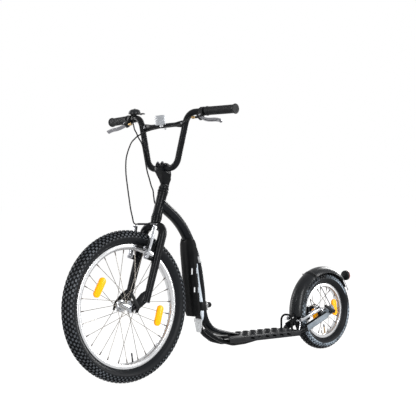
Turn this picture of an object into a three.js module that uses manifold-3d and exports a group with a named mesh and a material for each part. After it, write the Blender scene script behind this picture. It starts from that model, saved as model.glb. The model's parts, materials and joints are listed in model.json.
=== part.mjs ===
// Kick bike: an adult scooter with a large front wheel, a small rear wheel, a footboard
// slung between them, a BMX-style handlebar and rim brakes at both wheels.
// Millimetres and degrees. X points forward, Y to the rider's left, Z up.

import * as THREE from 'three';
import { mergeVertices } from 'three/addons/utils/BufferGeometryUtils.js';
import Module from 'manifold-3d';

// Driving dimensions
const wheelbase = 985;
const headAngle = 20;
const forkLength = 327;
const forkRake = 36;
const clearance = 0.3;
const overrun = 2;

// Wheels
const wheelSides = 32;
const frontWheel = {
  radius: 256.3, rimRadius: 209.5, rimDepth: 19.5, rimWidth: 26, tyreWidth: 54, spokes: 28,
  flangeRadius: 21.5, flangeSpacing: 54, shellRadius: 14, hubWidth: 94, valveLength: 30, valveSpokes: 20.5,
  reflectorLength: 72, reflectorWidth: 26, reflectorRadius: 138, reflectorAngles: [32, 198],
};
const rearWheel = {
  radius: 151, rimRadius: 108, rimDepth: 16, rimWidth: 26, tyreWidth: 54.7, spokes: 20,
  flangeRadius: 19, flangeSpacing: 48, shellRadius: 13, hubWidth: 84, valveLength: 34, valveSpokes: 14.5,
  reflectorLength: 65, reflectorWidth: 25, reflectorRadius: 58, reflectorAngles: [172, 342],
};
const tyreWall = 3.5;
const spokeRadius = 1.1;
const spokeLean = 58;
const flangeThickness = 3.5;
const axleRadius = 4.6;
const axleBore = 5;
const reflectorThickness = 8;
const valveRadius = 3;

// Head tube and headset, measured up the steering axis from the foot of the head tube
const headTubeLength = 90;
const headTubeRadius = 17;
const headTubeBore = 14.5;
const steererRadius = 12.7;
const steererBore = 11.4;
const cupRadius = 19;
const lowerCupHeight = 13;
const upperCupHeight = 10;
const headsetNutHeight = 18;
const quillRadius = 11.1;
const quillDepth = 60;

// Fork
const forkLegSpacing = 100;
const forkLegTopRadius = 13;
const forkLegFootRadius = 9.5;
const forkFootRise = 27;
const forkLegEnd = forkLength - forkFootRise;
const forkCrownDrop = 17;
const forkCrownBend = 40;
const forkSetBack = 4;
const dropoutThickness = 5;

// Stem and handlebar
const stemHeight = 168;
const stemReach = 26;
const stemWidth = 40;
const stemClampRadius = 19;
const barRadius = 11;
const barFootHalf = 72;
const barRise = 178;
const barRun = 51.4;
const barGripHalf = 330;
const barGripStraight = 204.5;
const barTopHalf = barGripHalf - barGripStraight;
const barBackSweep = 28;
const barEndRise = 8;
const barBend = 45;
const crossbarShare = 0.8;
const crossbarRadius = 8;
const gripRadius = 14.5;
const gripLength = 123;
const gripFlangeRadius = 17;

// Brake levers, in a frame whose X runs out along the bar and Y from the bar to the blade
const leverGap = 9;
const leverPlace = barGripHalf - gripLength - leverGap;
const leverTilt = 45.6;
const leverPivotOut = 27.5;
const leverBladeLength = 97;
const leverBladeDrop = 26;
const leverBladeThickness = 6.5;
const leverBladeWidth = 12;
const leverPinRadius = 2.5;
const leverCollarRadius = 15.5;
const leverCollarWidth = 14;
const adjusterLength = 24;
const adjusterRadius = 4;

// Rim brakes
const frontBrake = { pivotHalf: 43, tipHalf: 52, pivotRadius: 174.8, length: 105, padRadius: 205, plane: 2.4 };
const rearBrake = { pivotHalf: 40, tipHalf: 36, pivotRadius: 57, length: 101, padRadius: 103, plane: 33 };
const armThickness = 10;
const armRootRadius = 9;
const armTipRadius = 5;
const brakePinRadius = 4.2;
const brakePinPlay = 0.35;
const bossRadius = 8;
const padHeight = 8.4;
const padThickness = 9;
const padLength = 50;
const padGap = 2;
const noodleGap = 1;
const cableRadius = 2.5;
const bootRadius = 3.5;
const wireRadius = 1;
const frontBootStart = 46;
const frontBootEnd = 22;
const rearBootStart = 24;
const rearBootEnd = 14;

// Quick releases
const leverSkewerEnd = 60;
const quickReleaseLength = 62;
const quickReleaseWidth = 12;
const quickReleaseTaper = 0.8;
const quickReleaseSheet = 4;
const quickReleaseCam = 4.5;
const frontQuickReleaseAngle = 41.7;
const rearQuickReleaseAngle = 27;

// Rear stays, in a frame whose X runs forward along the stay from the rear axle
const stayPitch = 18.8;
const stayHeight = 27;
const stayThickness = 14;
const stayOuterHalf = 58;
const stayStart = 34;
const stayEnd = 158;
const stayWall = 2;
const rearDropoutHalf = 42.5;

// Footboard, in a frame whose X runs forward along the board from its rear edge
const deckPitch = 2;
const deckRear = 190;
const deckHeight = 97;
const deckLength = 372;
const deckHalf = 58;
const deckSheet = 2.5;
const deckFlange = 21.5;
const deckHoleRadius = 9.5;
const deckRimRadius = 13.5;
const deckRimHeight = 4.5;
const deckHoleRows = 3;
const deckHoleColumns = 7;
const deckRowPitch = 38;
const deckColumnPitch = 38.7;
const deckFirstColumn = 45;
const deckSlotLength = 22;
const deckSlotHeight = 7;
const deckSlotTilt = 11;
const saddleLength = 20;

// Heel hoop
const hoopRadius = 4;
const hoopHalf = 28;
const hoopHeight = 60;
const hoopPlace = 16;
const hoopBend = 24;

// Side rails
const railRadius = 8.2;
const railHalf = 30;
const railDrop = 17.4;
const railTopHalf = 14;

// Down tube
const downTubeDepth = 37;
const downTubeWidth = 44;
const downTubeTop = 50;
const downTubeTail = 480;

// Rear mudguard, about the rear axle
const mudguardCrown = 174;
const mudguardEdge = 150;
const mudguardHalf = 33;
const mudguardSheet = 2.5;
const mudguardFrom = -2.5;
const mudguardTo = 152;
const mudguardStayAngle = 64.6;
const mudguardTabDepth = 15;
const mudguardWireRadius = 1.6;
const rearReflectorRadius = 20;
const rearReflectorThickness = 12;
const rearReflectorReach = 148;
const rearReflectorRise = 128;
const rearReflectorFoot = 138;
const rearReflectorNeck = 5;
const rearLensThickness = 4;
const mudguardBandHalf = 2.6;

// Spray guard on the down tube
const guardBottom = 195;
const guardTop = 480;
const guardHalf = 35;
const guardDepth = 30;
const guardSheet = 2.5;
const guardStandOff = 55.425;
const guardLeanShare = 0.61236;
const strapHeight = 22;
const strapThickness = 3;
const knobRadius = 10;
const knobLength = 16;
const knobBossLength = 9;
const knobBossFlare = 1.5;
const guardSlotHalfDepth = 3;
const guardSlotHalfHeight = 10;
const tongueHalfWidth = 12;
const tongueHalfThickness = 2;
const tongueDrop = 12;
const flapTopHalf = 22;
const flapFootLeft = 13;
const flapFootRight = 9;
const flapHeight = 48;
const flapHalfThickness = 1;

// Bell and front reflector
const bellGap = 32;
const bellPlace = leverPlace - bellGap;
const bracketSheet = 3;
const bracketReach = 4;
const bracketMargin = 1;
const bracketClipHalf = 8;
const bracketArmHalf = 6;
const bellRadius = 23;
const bellHeight = 18;
const bellSheet = 2;
const bellCollar = 10;
const bellThumb = 16;
const frontReflectorWidth = 46;
const frontReflectorHeight = 34;
const frontReflectorThickness = 8;

const wasm = await Module();
wasm.setup();

const turn = THREE.MathUtils.degToRad;
const at = (x, y, z) => new THREE.Vector3(x, y, z);
const xAxis = at(1, 0, 0);
const yAxis = at(0, 1, 0);
const zAxis = at(0, 0, 1);

// Solids

/** Turns a closed geometry into a solid, with its faces pointing out. */
function solid(geometry) {
  const bare = geometry.clone();
  bare.deleteAttribute('normal');
  bare.deleteAttribute('uv');
  const merged = mergeVertices(bare);
  const points = merged.attributes.position;
  const faces = Uint32Array.from(merged.index.array);
  if (signedVolume(points, faces) < 0) {
    flip(faces);
  }
  const vertProperties = Float32Array.from(points.array);
  return new wasm.Manifold(new wasm.Mesh({ numProp: 3, vertProperties, triVerts: faces }));
}

function signedVolume(points, faces) {
  const [a, b, c] = [at(0, 0, 0), at(0, 0, 0), at(0, 0, 0)];
  let sum = 0;
  for (let i = 0; i < faces.length; i += 3) {
    a.fromBufferAttribute(points, faces[i]);
    b.fromBufferAttribute(points, faces[i + 1]);
    c.fromBufferAttribute(points, faces[i + 2]);
    sum += a.dot(b.cross(c));
  }
  return sum;
}

function flip(faces) {
  for (let i = 0; i < faces.length; i += 3) {
    [faces[i + 1], faces[i + 2]] = [faces[i + 2], faces[i + 1]];
  }
}

function joined(...solids) {
  return solids.reduce((whole, piece) => whole.add(piece));
}

function cut(whole, ...cutters) {
  return cutters.reduce((rest, cutter) => rest.subtract(cutter), whole);
}

/** The geometry of a solid, as an indexed mesh. */
function geometryOf(shape) {
  const mesh = shape.getMesh();
  const geometry = new THREE.BufferGeometry();
  const points = [];
  for (let i = 0; i < mesh.vertProperties.length; i += mesh.numProp) {
    points.push(mesh.vertProperties[i], mesh.vertProperties[i + 1], mesh.vertProperties[i + 2]);
  }
  geometry.setAttribute('position', new THREE.Float32BufferAttribute(points, 3));
  geometry.setIndex(Array.from(mesh.triVerts));
  geometry.computeVertexNormals();
  return geometry;
}

/** The same solid on the other side of the plane of symmetry. */
function mirrored(shape) {
  return solid(geometryOf(shape).applyMatrix4(new THREE.Matrix4().makeScale(1, -1, 1)));
}

/** The same solid moved by a matrix. */
function moved(shape, matrix) {
  return solid(geometryOf(shape).applyMatrix4(matrix));
}

// Shapes

function block(from, to) {
  const size = to.clone().sub(from);
  const box = new THREE.BoxGeometry(size.x, size.y, size.z);
  return solid(box.translate(...from.clone().add(to).multiplyScalar(0.5)));
}

/** A round bar between two points. */
function rod(from, to, radius, sides = 10, endRadius = radius) {
  const run = to.clone().sub(from);
  const bar = new THREE.CylinderGeometry(endRadius, radius, run.length(), sides);
  bar.applyQuaternion(new THREE.Quaternion().setFromUnitVectors(yAxis, run.normalize()));
  return solid(bar.translate(...from.clone().add(to).multiplyScalar(0.5)));
}

/** A solid of revolution about the line from a point along an axis; the profile holds [radius, height]. */
function turned(profile, sides, origin = at(0, 0, 0), axis = yAxis) {
  const closed = profile[0][0] > 0 || profile.at(-1)[0] > 0;
  const points = (closed ? [...profile, profile[0]] : profile).map(([r, h]) => new THREE.Vector2(r, h));
  const lathe = new THREE.LatheGeometry(points, sides);
  lathe.applyQuaternion(new THREE.Quaternion().setFromUnitVectors(yAxis, axis.clone().normalize()));
  return solid(lathe.translate(origin.x, origin.y, origin.z));
}

/** A ring of rectangular section between two heights along an axis. */
function ring(bore, radius, low, high, sides, origin, axis) {
  return turned([[bore, low], [radius, low], [radius, high], [bore, high]], sides, origin, axis);
}

/** An outline in the plane of two axes, extruded both ways along the third. */
function plate(outline, half, across, up, centre = at(0, 0, 0)) {
  const sheet = new THREE.ExtrudeGeometry(outline, { depth: 2 * half, bevelEnabled: false, curveSegments: 3 });
  sheet.translate(0, 0, -half);
  const basis = new THREE.Matrix4().makeBasis(across, up, across.clone().cross(up));
  return solid(sheet.applyMatrix4(basis.setPosition(centre)));
}

function outlineOf(points) {
  return new THREE.Shape(points.map(([x, y]) => new THREE.Vector2(x, y)));
}

/** An oval with straight sides, its length along X. */
function oval(length, height) {
  const shape = new THREE.Shape();
  const reach = (length - height) / 2;
  shape.absarc(reach, 0, height / 2, -Math.PI / 2, Math.PI / 2, false);
  shape.absarc(-reach, 0, height / 2, Math.PI / 2, 3 * Math.PI / 2, false);
  return shape;
}

/** Rounds the corners of a route to a bend radius. */
function rounded(corners, bend, stepAngle = 22) {
  const points = [corners[0]];
  for (let i = 1; i < corners.length - 1; i += 1) {
    const back = corners[i - 1].clone().sub(corners[i]);
    const ahead = corners[i + 1].clone().sub(corners[i]);
    const room = 0.48 * Math.min(back.length(), ahead.length());
    back.normalize();
    ahead.normalize();
    const angle = Math.PI - back.angleTo(ahead);
    if (angle < turn(1)) {
      points.push(corners[i]);
      continue;
    }
    const reach = Math.min(room, bend * Math.tan(angle / 2));
    const radius = reach / Math.tan(angle / 2);
    const middle = back.clone().add(ahead).normalize();
    const centre = corners[i].clone().addScaledVector(middle, radius / Math.cos(angle / 2));
    const spoke = corners[i].clone().addScaledVector(back, reach).sub(centre);
    const last = corners[i].clone().addScaledVector(ahead, reach).sub(centre);
    const axis = spoke.clone().cross(last).normalize();
    const steps = Math.max(1, Math.ceil(angle / turn(stepAngle)));
    for (let k = 0; k <= steps; k += 1) {
      points.push(spoke.clone().applyAxisAngle(axis, angle * k / steps).add(centre));
    }
  }
  points.push(corners.at(-1));
  return points;
}

/** A path whose steps fall on chosen points. */
class StepPath extends THREE.Curve {
  constructor(points) {
    super();
    this.points = points;
  }

  getPointAt(share) {
    return this.points[Math.round(share * (this.points.length - 1))].clone();
  }

  getTangentAt(share) {
    const i = Math.round(share * (this.points.length - 1));
    const before = this.points[Math.max(0, i - 1)];
    const here = this.points[i];
    const after = this.points[Math.min(this.points.length - 1, i + 1)];
    const inward = here.clone().sub(before).normalize();
    const outward = after.clone().sub(here).normalize();
    return inward.add(outward).normalize();
  }
}

/** A round tube or cable along points. */
function pipe(points, radius, sides = 12) {
  const section = new THREE.Shape();
  for (let k = 0; k < sides; k += 1) {
    const angle = 2 * Math.PI * k / sides;
    const corner = [radius * Math.cos(angle), radius * Math.sin(angle)];
    if (k === 0) {
      section.moveTo(...corner);
    } else {
      section.lineTo(...corner);
    }
  }
  const path = new StepPath(points);
  const steps = points.length - 1;
  return solid(new THREE.ExtrudeGeometry(section, { steps, extrudePath: path, bevelEnabled: false }));
}

/** A closed solid through rings of points, each ring with as many points as the next. */
function loft(rings) {
  const count = rings[0].length;
  const points = rings.flat().flatMap((p) => [p.x, p.y, p.z]);
  const faces = [];
  for (let i = 0; i < rings.length - 1; i += 1) {
    for (let k = 0; k < count; k += 1) {
      const [a, b] = [i * count + k, i * count + (k + 1) % count];
      faces.push(a, b, a + count, b, b + count, a + count);
    }
  }
  for (const [index, sense] of [[0, 1], [rings.length - 1, -1]]) {
    const flat = rings[index];
    for (const [a, b, c] of capFaces(flat)) {
      const corners = [a, b, c].map((k) => index * count + k);
      faces.push(...(sense > 0 ? corners : corners.reverse()));
    }
  }
  const geometry = new THREE.BufferGeometry();
  geometry.setAttribute('position', new THREE.Float32BufferAttribute(points, 3));
  geometry.setIndex(faces);
  return solid(geometry);
}

/** Triangles that close a flat ring, wound against the walls that start there. */
function capFaces(flat) {
  const normal = at(0, 0, 0);
  flat.forEach((p, k) => normal.add(p.clone().cross(flat[(k + 1) % flat.length])));
  normal.normalize();
  const across = flat[1].clone().sub(flat[0]).normalize();
  const up = normal.clone().cross(across);
  const drawn = flat.map((p) => new THREE.Vector2(p.dot(across), p.dot(up)));
  return THREE.ShapeUtils.triangulateShape(drawn, []).map(([a, b, c]) => [a, c, b]);
}

/** Rings of a section that follow points, given the section's [sideways, upward] corners at each. */
function ringsAlong(points, sectionAt, side = yAxis) {
  const path = new StepPath(points);
  return points.map((point, i) => {
    const ahead = path.getTangentAt(i / (points.length - 1));
    const up = ahead.clone().cross(side).normalize();
    const across = up.clone().cross(ahead).normalize();
    return sectionAt(i).map(([s, u]) => point.clone().addScaledVector(across, s).addScaledVector(up, u));
  });
}

function ellipse(half, rise, sides) {
  const corner = (k) => 2 * Math.PI * (k + 0.5) / sides;
  return Array.from({ length: sides }, (_, k) => [half * Math.cos(corner(k)), rise * Math.sin(corner(k))]);
}

// Materials

const finishes = {
  blackPaint: { color: 0x16181a, roughness: 0.32, metalness: 0.2 },
  blackPlastic: { color: 0x1b1c1e, roughness: 0.6, metalness: 0 },
  glossPlastic: { color: 0x101113, roughness: 0.2, metalness: 0 },
  rubber: { color: 0x191a1b, roughness: 0.85, metalness: 0 },
  silver: { color: 0xc9ccd0, roughness: 0.3, metalness: 0.9 },
  steel: { color: 0xb4b6ba, roughness: 0.35, metalness: 0.9 },
  brass: { color: 0xb08a4a, roughness: 0.4, metalness: 0.8 },
  amber: { color: 0xf59a12, roughness: 0.25, metalness: 0 },
  clear: { color: 0xdfe3e6, roughness: 0.2, metalness: 0 },
  red: { color: 0xc21f1f, roughness: 0.2, metalness: 0 },
};

/** A named mesh of a solid, added to a group. */
function add(group, name, shape, finish) {
  const mesh = new THREE.Mesh(geometryOf(shape), new THREE.MeshStandardMaterial(finishes[finish]));
  mesh.name = name;
  group.add(mesh);
  return mesh;
}

/** A left piece and its mirror image on the right. */
function addPair(group, name, shape, finish) {
  add(group, `${name}_left`, shape, finish);
  add(group, `${name}_right`, mirrored(shape), finish);
}

function groupAt(parent, position, pitch = 0) {
  const group = new THREE.Group();
  group.position.copy(position);
  group.rotation.y = turn(pitch);
  parent.add(group);
  return group;
}

const bike = new THREE.Group();
const headCos = Math.cos(turn(headAngle));
const headSin = Math.sin(turn(headAngle));
const headFoot = at(
  wheelbase - forkRake * headCos - forkLength * headSin,
  0,
  frontWheel.radius - forkRake * headSin + forkLength * headCos,
);
const steering = groupAt(bike, headFoot, -headAngle);
const frontAxle = at(forkRake, 0, -forkLength);

/** A place in the bike's frame that lies at a place of the steering frame. */
function fromSteering(x, y, z) {
  return at(headFoot.x + x * headCos - z * headSin, y, headFoot.z + x * headSin + z * headCos);
}

// Wheels

/** The radius where the flat sides of a faceted ring lie. */
const flatOf = (radius) => radius * Math.cos(Math.PI / wheelSides);

function tyre(wheel) {
  const half = wheel.tyreWidth / 2;
  const seat = wheel.rimRadius - wheel.rimDepth * 0.35;
  const bead = wheel.rimWidth / 2 - 2 - clearance;
  const crown = wheel.radius;
  const middle = (crown + wheel.rimRadius) / 2 + 1;
  const reach = crown - middle;
  const arc = (share, inset) => {
    const angle = turn(share * 148);
    return [middle + (reach - inset) * Math.cos(angle), (half - inset) * Math.sin(angle)];
  };
  const outer = [-0.9, -0.6, -0.28, 0, 0.28, 0.6, 0.9].map((share) => arc(share, 0));
  const inner = [0.75, 0, -0.75].map((share) => arc(share, tyreWall));
  const lipRadius = wheel.rimRadius + clearance * 3;
  const lip = [[lipRadius, bead], [seat, bead - tyreWall * 0.3], [lipRadius, bead - tyreWall * 0.6]];
  const otherLip = lip.map(([r, y]) => [r, -y]).reverse();
  return turned([...otherLip, ...outer, ...lip, ...inner], wheelSides);
}

function rim(wheel) {
  const half = wheel.rimWidth / 2;
  const lip = wheel.rimRadius;
  const bed = lip - wheel.rimDepth;
  const well = lip - wheel.rimDepth * 0.4;
  return turned([
    [lip, half], [lip - wheel.rimDepth * 0.7, half], [bed, half * 0.5], [bed, -half * 0.5],
    [lip - wheel.rimDepth * 0.7, -half], [lip, -half], [well, -half + 2], [well, half - 2],
  ], wheelSides);
}

/** The two ends of each spoke: where it leaves its flange and where it meets the rim. */
function spokeEnds(wheel) {
  const bed = flatOf(wheel.rimRadius - wheel.rimDepth) - clearance * 2;
  return Array.from({ length: wheel.spokes }, (_, k) => {
    const side = k % 2 ? -1 : 1;
    const lean = Math.floor(k / 2) % 2 ? -1 : 1;
    const outer = 360 * k / wheel.spokes;
    const inner = outer + lean * spokeLean;
    const hub = wheel.flangeRadius - flangeThickness;
    const face = side * wheel.flangeSpacing / 2 + lean * (flangeThickness / 2 + spokeRadius / 4);
    return {
      side,
      from: wheelPoint(hub, inner, face),
      to: wheelPoint(bed, outer, side * wheel.rimWidth / 8),
    };
  });
}

function wheelPoint(radius, degrees, y) {
  return at(radius * Math.cos(turn(degrees)), y, radius * Math.sin(turn(degrees)));
}

function hub(wheel) {
  const flange = wheel.flangeSpacing / 2;
  const end = wheel.hubWidth / 2;
  const half = flangeThickness / 2;
  const side = [
    [axleBore, end], [wheel.shellRadius * 0.6, end], [wheel.shellRadius * 0.75, flange + half * 3],
    [wheel.flangeRadius, flange + half], [wheel.flangeRadius, flange - half],
    [wheel.shellRadius, flange - half * 3],
  ];
  const other = side.map(([r, y]) => [r, -y]).reverse();
  const body = turned([...side, ...other], 16);
  return joined(body, ...spokeEnds(wheel).map(({ from, to }) => rod(from, to, spokeRadius, 3)));
}

/** An oval reflector clipped over the spokes of one side. */
function wheelReflector(wheel, degrees, side) {
  const share = (wheel.reflectorRadius - wheel.flangeRadius) / (wheel.rimRadius - wheel.flangeRadius);
  const place = THREE.MathUtils.lerp(wheel.flangeSpacing / 2, wheel.rimWidth / 8, share) * side;
  const centre = wheelPoint(wheel.reflectorRadius, degrees, place);
  const tangent = wheelPoint(1, degrees + 90, 0);
  const outward = wheelPoint(1, degrees, 0);
  const body = plate(
    oval(wheel.reflectorLength, wheel.reflectorWidth), reflectorThickness / 2, tangent, outward, centre,
  );
  const passages = spokeEnds(wheel).map(({ from, to }) => rod(from, to, spokeRadius + clearance * 2, 4));
  return cut(body, ...passages);
}

function addWheel(group, prefix, wheel) {
  add(group, `${prefix}_tyre`, tyre(wheel), 'rubber');
  add(group, `${prefix}_rim`, rim(wheel), 'silver');
  add(group, `${prefix}_hub`, hub(wheel), 'steel');
  const bed = flatOf(wheel.rimRadius - wheel.rimDepth) - clearance;
  const valveAngle = 360 * wheel.valveSpokes / wheel.spokes;
  const foot = wheelPoint(bed, valveAngle, 0);
  const head = wheelPoint(bed - wheel.valveLength, valveAngle, 0);
  add(group, `${prefix}_valve`, rod(foot, head, valveRadius, 8), 'blackPlastic');
  wheel.reflectorAngles.forEach((degrees, k) => {
    const name = `${prefix}_wheel_reflector_${'ab'[k]}`;
    add(group, name, wheelReflector(wheel, degrees, 1), 'amber');
  });
}

// Rim brakes, in a frame centred on the axle: X along the pivots, Z up the arms

/** Where an arm's centre line lies at a height above its axle. */
function armHalfAt(brake, height) {
  const share = (height - brake.pivotRadius) / brake.length;
  return THREE.MathUtils.lerp(brake.pivotHalf, brake.tipHalf, share);
}

function brakeArm(brake, rimHalf) {
  const foot = brake.pivotRadius;
  const tip = foot + brake.length;
  const padZ = Math.sqrt(brake.padRadius ** 2 - brake.plane ** 2);
  const lean = Math.atan2(brake.tipHalf - brake.pivotHalf, brake.length);
  const shape = new THREE.Shape();
  shape.absarc(brake.pivotHalf, foot, armRootRadius, Math.PI - lean, 2 * Math.PI - lean, false);
  shape.absarc(brake.tipHalf, tip, armTipRadius, -lean, Math.PI - lean, false);
  const centre = at(brake.plane, 0, 0);
  const arm = plate(shape, armThickness / 2, yAxis, zAxis, centre);
  const bore = rod(
    at(brake.plane - armThickness, brake.pivotHalf, foot), at(brake.plane + armThickness, brake.pivotHalf, foot),
    brakePinRadius + brakePinPlay, 12,
  );
  const padInner = rimHalf + padGap;
  const padOuter = padInner + padThickness;
  const post = rod(
    at(brake.plane, padOuter - overrun, padZ), at(brake.plane, armHalfAt(brake, padZ) + armTipRadius, padZ),
    armTipRadius * 0.8, 10,
  );
  return joined(cut(arm, bore), post, brakePad(brake, padInner, padOuter));
}

/** A curved brake block that follows the rim. */
function brakePad(brake, inner, outer) {
  const middle = Math.asin(brake.plane / brake.padRadius);
  const reach = padLength / 2 / brake.padRadius;
  const shape = new THREE.Shape();
  const [low, high] = [brake.padRadius - padHeight / 2, brake.padRadius + padHeight / 2];
  const start = Math.PI / 2 - middle - reach;
  const end = Math.PI / 2 - middle + reach;
  shape.absarc(0, 0, high, start, end, false);
  shape.absarc(0, 0, low, end, start, true);
  const centre = at(0, (inner + outer) / 2, 0);
  return plate(shape, (outer - inner) / 2, xAxis, zAxis, centre);
}

/** The post that an arm turns on, from its carrier out past the arm. */
function brakePost(brake, root) {
  const z = brake.pivotRadius;
  const y = brake.pivotHalf;
  const seat = brake.plane - armThickness / 2 - clearance;
  const end = brake.plane + armThickness / 2 + clearance;
  const head = end + brakePinRadius * 0.6;
  return joined(
    rod(at(root, y, z), at(seat, y, z), bossRadius, 12),
    rod(at(root, y, z), at(head, y, z), brakePinRadius, 12),
    rod(at(end, y, z), at(head, y, z), brakePinRadius * 1.5, 12),
  );
}

/** The line of the boot and wire, just past the tips of the arms. */
function bootHeight(brake) {
  return brake.pivotRadius + brake.length + armTipRadius + noodleGap + bootRadius;
}

// Fork, headset and front end, in the steering frame

function forkLeg() {
  const half = forkLegSpacing / 2;
  const crown = -lowerCupHeight - forkCrownDrop;
  const corners = [at(0, 0, crown), at(-forkSetBack / 2, half, crown - forkLegFootRadius), at(-forkSetBack, half, -forkLegEnd)];
  const points = rounded(corners, forkCrownBend);
  const foot = points.length - 1;
  const sectionAt = (i) => {
    const radius = i < foot ? forkLegTopRadius : forkLegFootRadius;
    return ellipse(radius, radius, 10);
  };
  return loft(ringsAlong(points, sectionAt, xAxis));
}

function forkDropout() {
  const half = forkLegSpacing / 2;
  const { x, z } = frontAxle;
  const wide = forkLegFootRadius;
  const top = -forkLegEnd;
  const slot = axleRadius + clearance;
  const outline = outlineOf([
    [-forkSetBack - wide, top], [-forkSetBack - wide, top + wide * 4], [-forkSetBack + wide, top + wide * 4.4],
    [x - wide, top + wide * 2.4], [x + wide * 1.3, z + wide * 1.4], [x + wide * 1.3, z - wide * 1.9],
    [x + slot, z - wide * 1.9], [x + slot, z + slot], [x - slot, z + slot], [x - slot, z - wide * 1.9],
    [x - wide * 1.5, z - wide * 1.7], [x - wide * 1.9, z], [-forkSetBack, top - clearance],
  ]);
  return plate(outline, dropoutThickness / 2, xAxis, zAxis, at(0, half, 0));
}

function fork() {
  const steererTop = headTubeLength + upperCupHeight + headsetNutHeight;
  const crown = -lowerCupHeight - forkCrownDrop;
  const steerer = rod(at(0, 0, crown), at(0, 0, steererTop), steererRadius, 16);
  const race = rod(at(0, 0, crown), at(0, 0, -lowerCupHeight - clearance), cupRadius - overrun, 16);
  const bore = rod(at(0, 0, quillDepth - forkCrownDrop), at(0, 0, steererTop + overrun), steererBore, 16);
  const post = moved(brakePost(frontBrake, -forkRake), new THREE.Matrix4().setPosition(frontAxle));
  const half = joined(forkLeg(), forkDropout(), post);
  return joined(cut(joined(steerer, race), bore), half, mirrored(half));
}

function axlePiece(dropoutFace) {
  const head = axleRadius * 2;
  return joined(
    rod(at(0, -leverSkewerEnd, 0), at(0, leverSkewerEnd - clearance, 0), axleRadius, 14),
    rod(at(0, -leverSkewerEnd, 0), at(0, -dropoutFace - clearance, 0), head, 12),
    rod(at(0, dropoutFace + clearance, 0), at(0, leverSkewerEnd - overrun * 2, 0), head, 12),
  );
}

/** A flat lever that turns on the round cam at its root and points along an angle in the wheel's plane. */
function quickRelease(degrees) {
  const half = quickReleaseWidth / 2;
  const outline = new THREE.Shape();
  outline.moveTo(0, half);
  outline.lineTo(0, -half);
  outline.absarc(quickReleaseLength - half, 0, half * quickReleaseTaper, -Math.PI / 2, Math.PI / 2, false);
  const out = wheelPoint(1, degrees, 0);
  const across = wheelPoint(1, degrees + 90, 0);
  const centre = at(0, leverSkewerEnd + quickReleaseCam, 0);
  const cam = rod(
    centre.clone().addScaledVector(across, -half), centre.clone().addScaledVector(across, half), quickReleaseCam, 12,
  );
  return joined(plate(outline, quickReleaseSheet / 2, out, across, centre), cam);
}

const skewerTip = axlePiece(forkLegSpacing / 2 + dropoutThickness / 2);

function addFrontEnd() {
  add(steering, 'fork', fork(), 'blackPaint');
  const axle = groupAt(steering, frontAxle);
  add(axle, 'front_axle', skewerTip, 'steel');
  add(axle, 'front_quick_release', quickRelease(frontQuickReleaseAngle), 'blackPlastic');
  const nutBase = headTubeLength + upperCupHeight + clearance;
  const nutTop = headTubeLength + upperCupHeight + headsetNutHeight;
  add(steering, 'headset_nut', turned([
    [steererRadius + clearance, nutBase], [cupRadius - 1, nutBase], [cupRadius - 1, nutBase + headsetNutHeight * 0.45],
    [cupRadius * 0.826, nutBase + headsetNutHeight * 0.5], [cupRadius - 2, nutBase + headsetNutHeight * 0.55],
    [cupRadius - 2, nutTop - clearance], [steererRadius + clearance, nutTop - clearance],
  ], 16, at(0, 0, 0), zAxis), 'blackPaint');
  const wheel = groupAt(steering, frontAxle, headAngle);
  addWheel(wheel, 'front', frontWheel);
  const brake = groupAt(steering, frontAxle);
  addPair(brake, 'front_brake_arm', brakeArm(frontBrake, frontWheel.rimWidth / 2), 'silver');
}

// Stem, handlebar and controls, in the steering frame

function stemBlock() {
  const base = headTubeLength + upperCupHeight + headsetNutHeight + clearance;
  const side = new THREE.Shape();
  side.moveTo(-quillRadius, base);
  side.lineTo(quillRadius, base);
  side.lineTo(stemReach + stemClampRadius, stemHeight - stemClampRadius * 0.7);
  side.absarc(stemReach, stemHeight, stemClampRadius, -0.7, Math.PI * 0.9, false);
  side.lineTo(-quillRadius, base + stemClampRadius);
  const body = plate(side, stemWidth / 2, xAxis, zAxis);
  const frontal = outlineOf([
    [-quillRadius, base - overrun], [quillRadius, base - overrun], [quillRadius, base + quillRadius],
    [stemWidth / 2, stemHeight - stemClampRadius * 0.7], [stemWidth / 2, stemHeight + stemClampRadius * 2],
    [-stemWidth / 2, stemHeight + stemClampRadius * 2], [-stemWidth / 2, stemHeight - stemClampRadius * 0.7],
    [-quillRadius, base + quillRadius],
  ]);
  const taper = plate(frontal, stemWidth * 2, yAxis, zAxis);
  const bore = rod(at(stemReach, -stemWidth, stemHeight), at(stemReach, stemWidth, stemHeight), barRadius + clearance * 2, 16);
  return cut(body.intersect(taper), bore);
}

function addStem() {
  const base = headTubeLength + upperCupHeight + headsetNutHeight;
  const split = stemHeight;
  const whole = stemBlock();
  const above = block(at(-stemWidth * 2, -stemWidth, split), at(stemWidth * 3, stemWidth, split + stemWidth * 2));
  const gap = block(
    at(-stemWidth * 2, -stemWidth, split - overrun), at(stemWidth * 3, stemWidth, split + stemWidth * 2),
  );
  const quill = rod(at(0, 0, quillDepth), at(0, 0, base + overrun * 2), quillRadius, 16);
  add(steering, 'stem', joined(cut(whole, gap), quill), 'blackPaint');
  const bolts = [-1, 1].flatMap((side) => [-1, 1].map((end) => {
    const x = stemReach + end * stemClampRadius * 0.86;
    const y = side * stemWidth * 0.3;
    return rod(at(x, y, split + overrun), at(x, y, split + stemClampRadius), barRadius * 0.36, 8);
  }));
  add(steering, 'stem_cap', joined(whole.intersect(above), ...bolts), 'blackPaint');
}

const barFoot = at(stemReach, barFootHalf, stemHeight);
const barShoulder = at(stemReach + barRun, barTopHalf, stemHeight + barRise);
const barEnd = at(barShoulder.x - barBackSweep, barGripHalf, barShoulder.z + barEndRise);
const gripWay = barEnd.clone().sub(barShoulder).normalize();

/** The point of the grip's straight at a distance from the middle plane. */
function barPointAt(half) {
  const share = (half - barShoulder.y) / (barEnd.y - barShoulder.y);
  return barShoulder.clone().lerp(barEnd, share);
}

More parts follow.
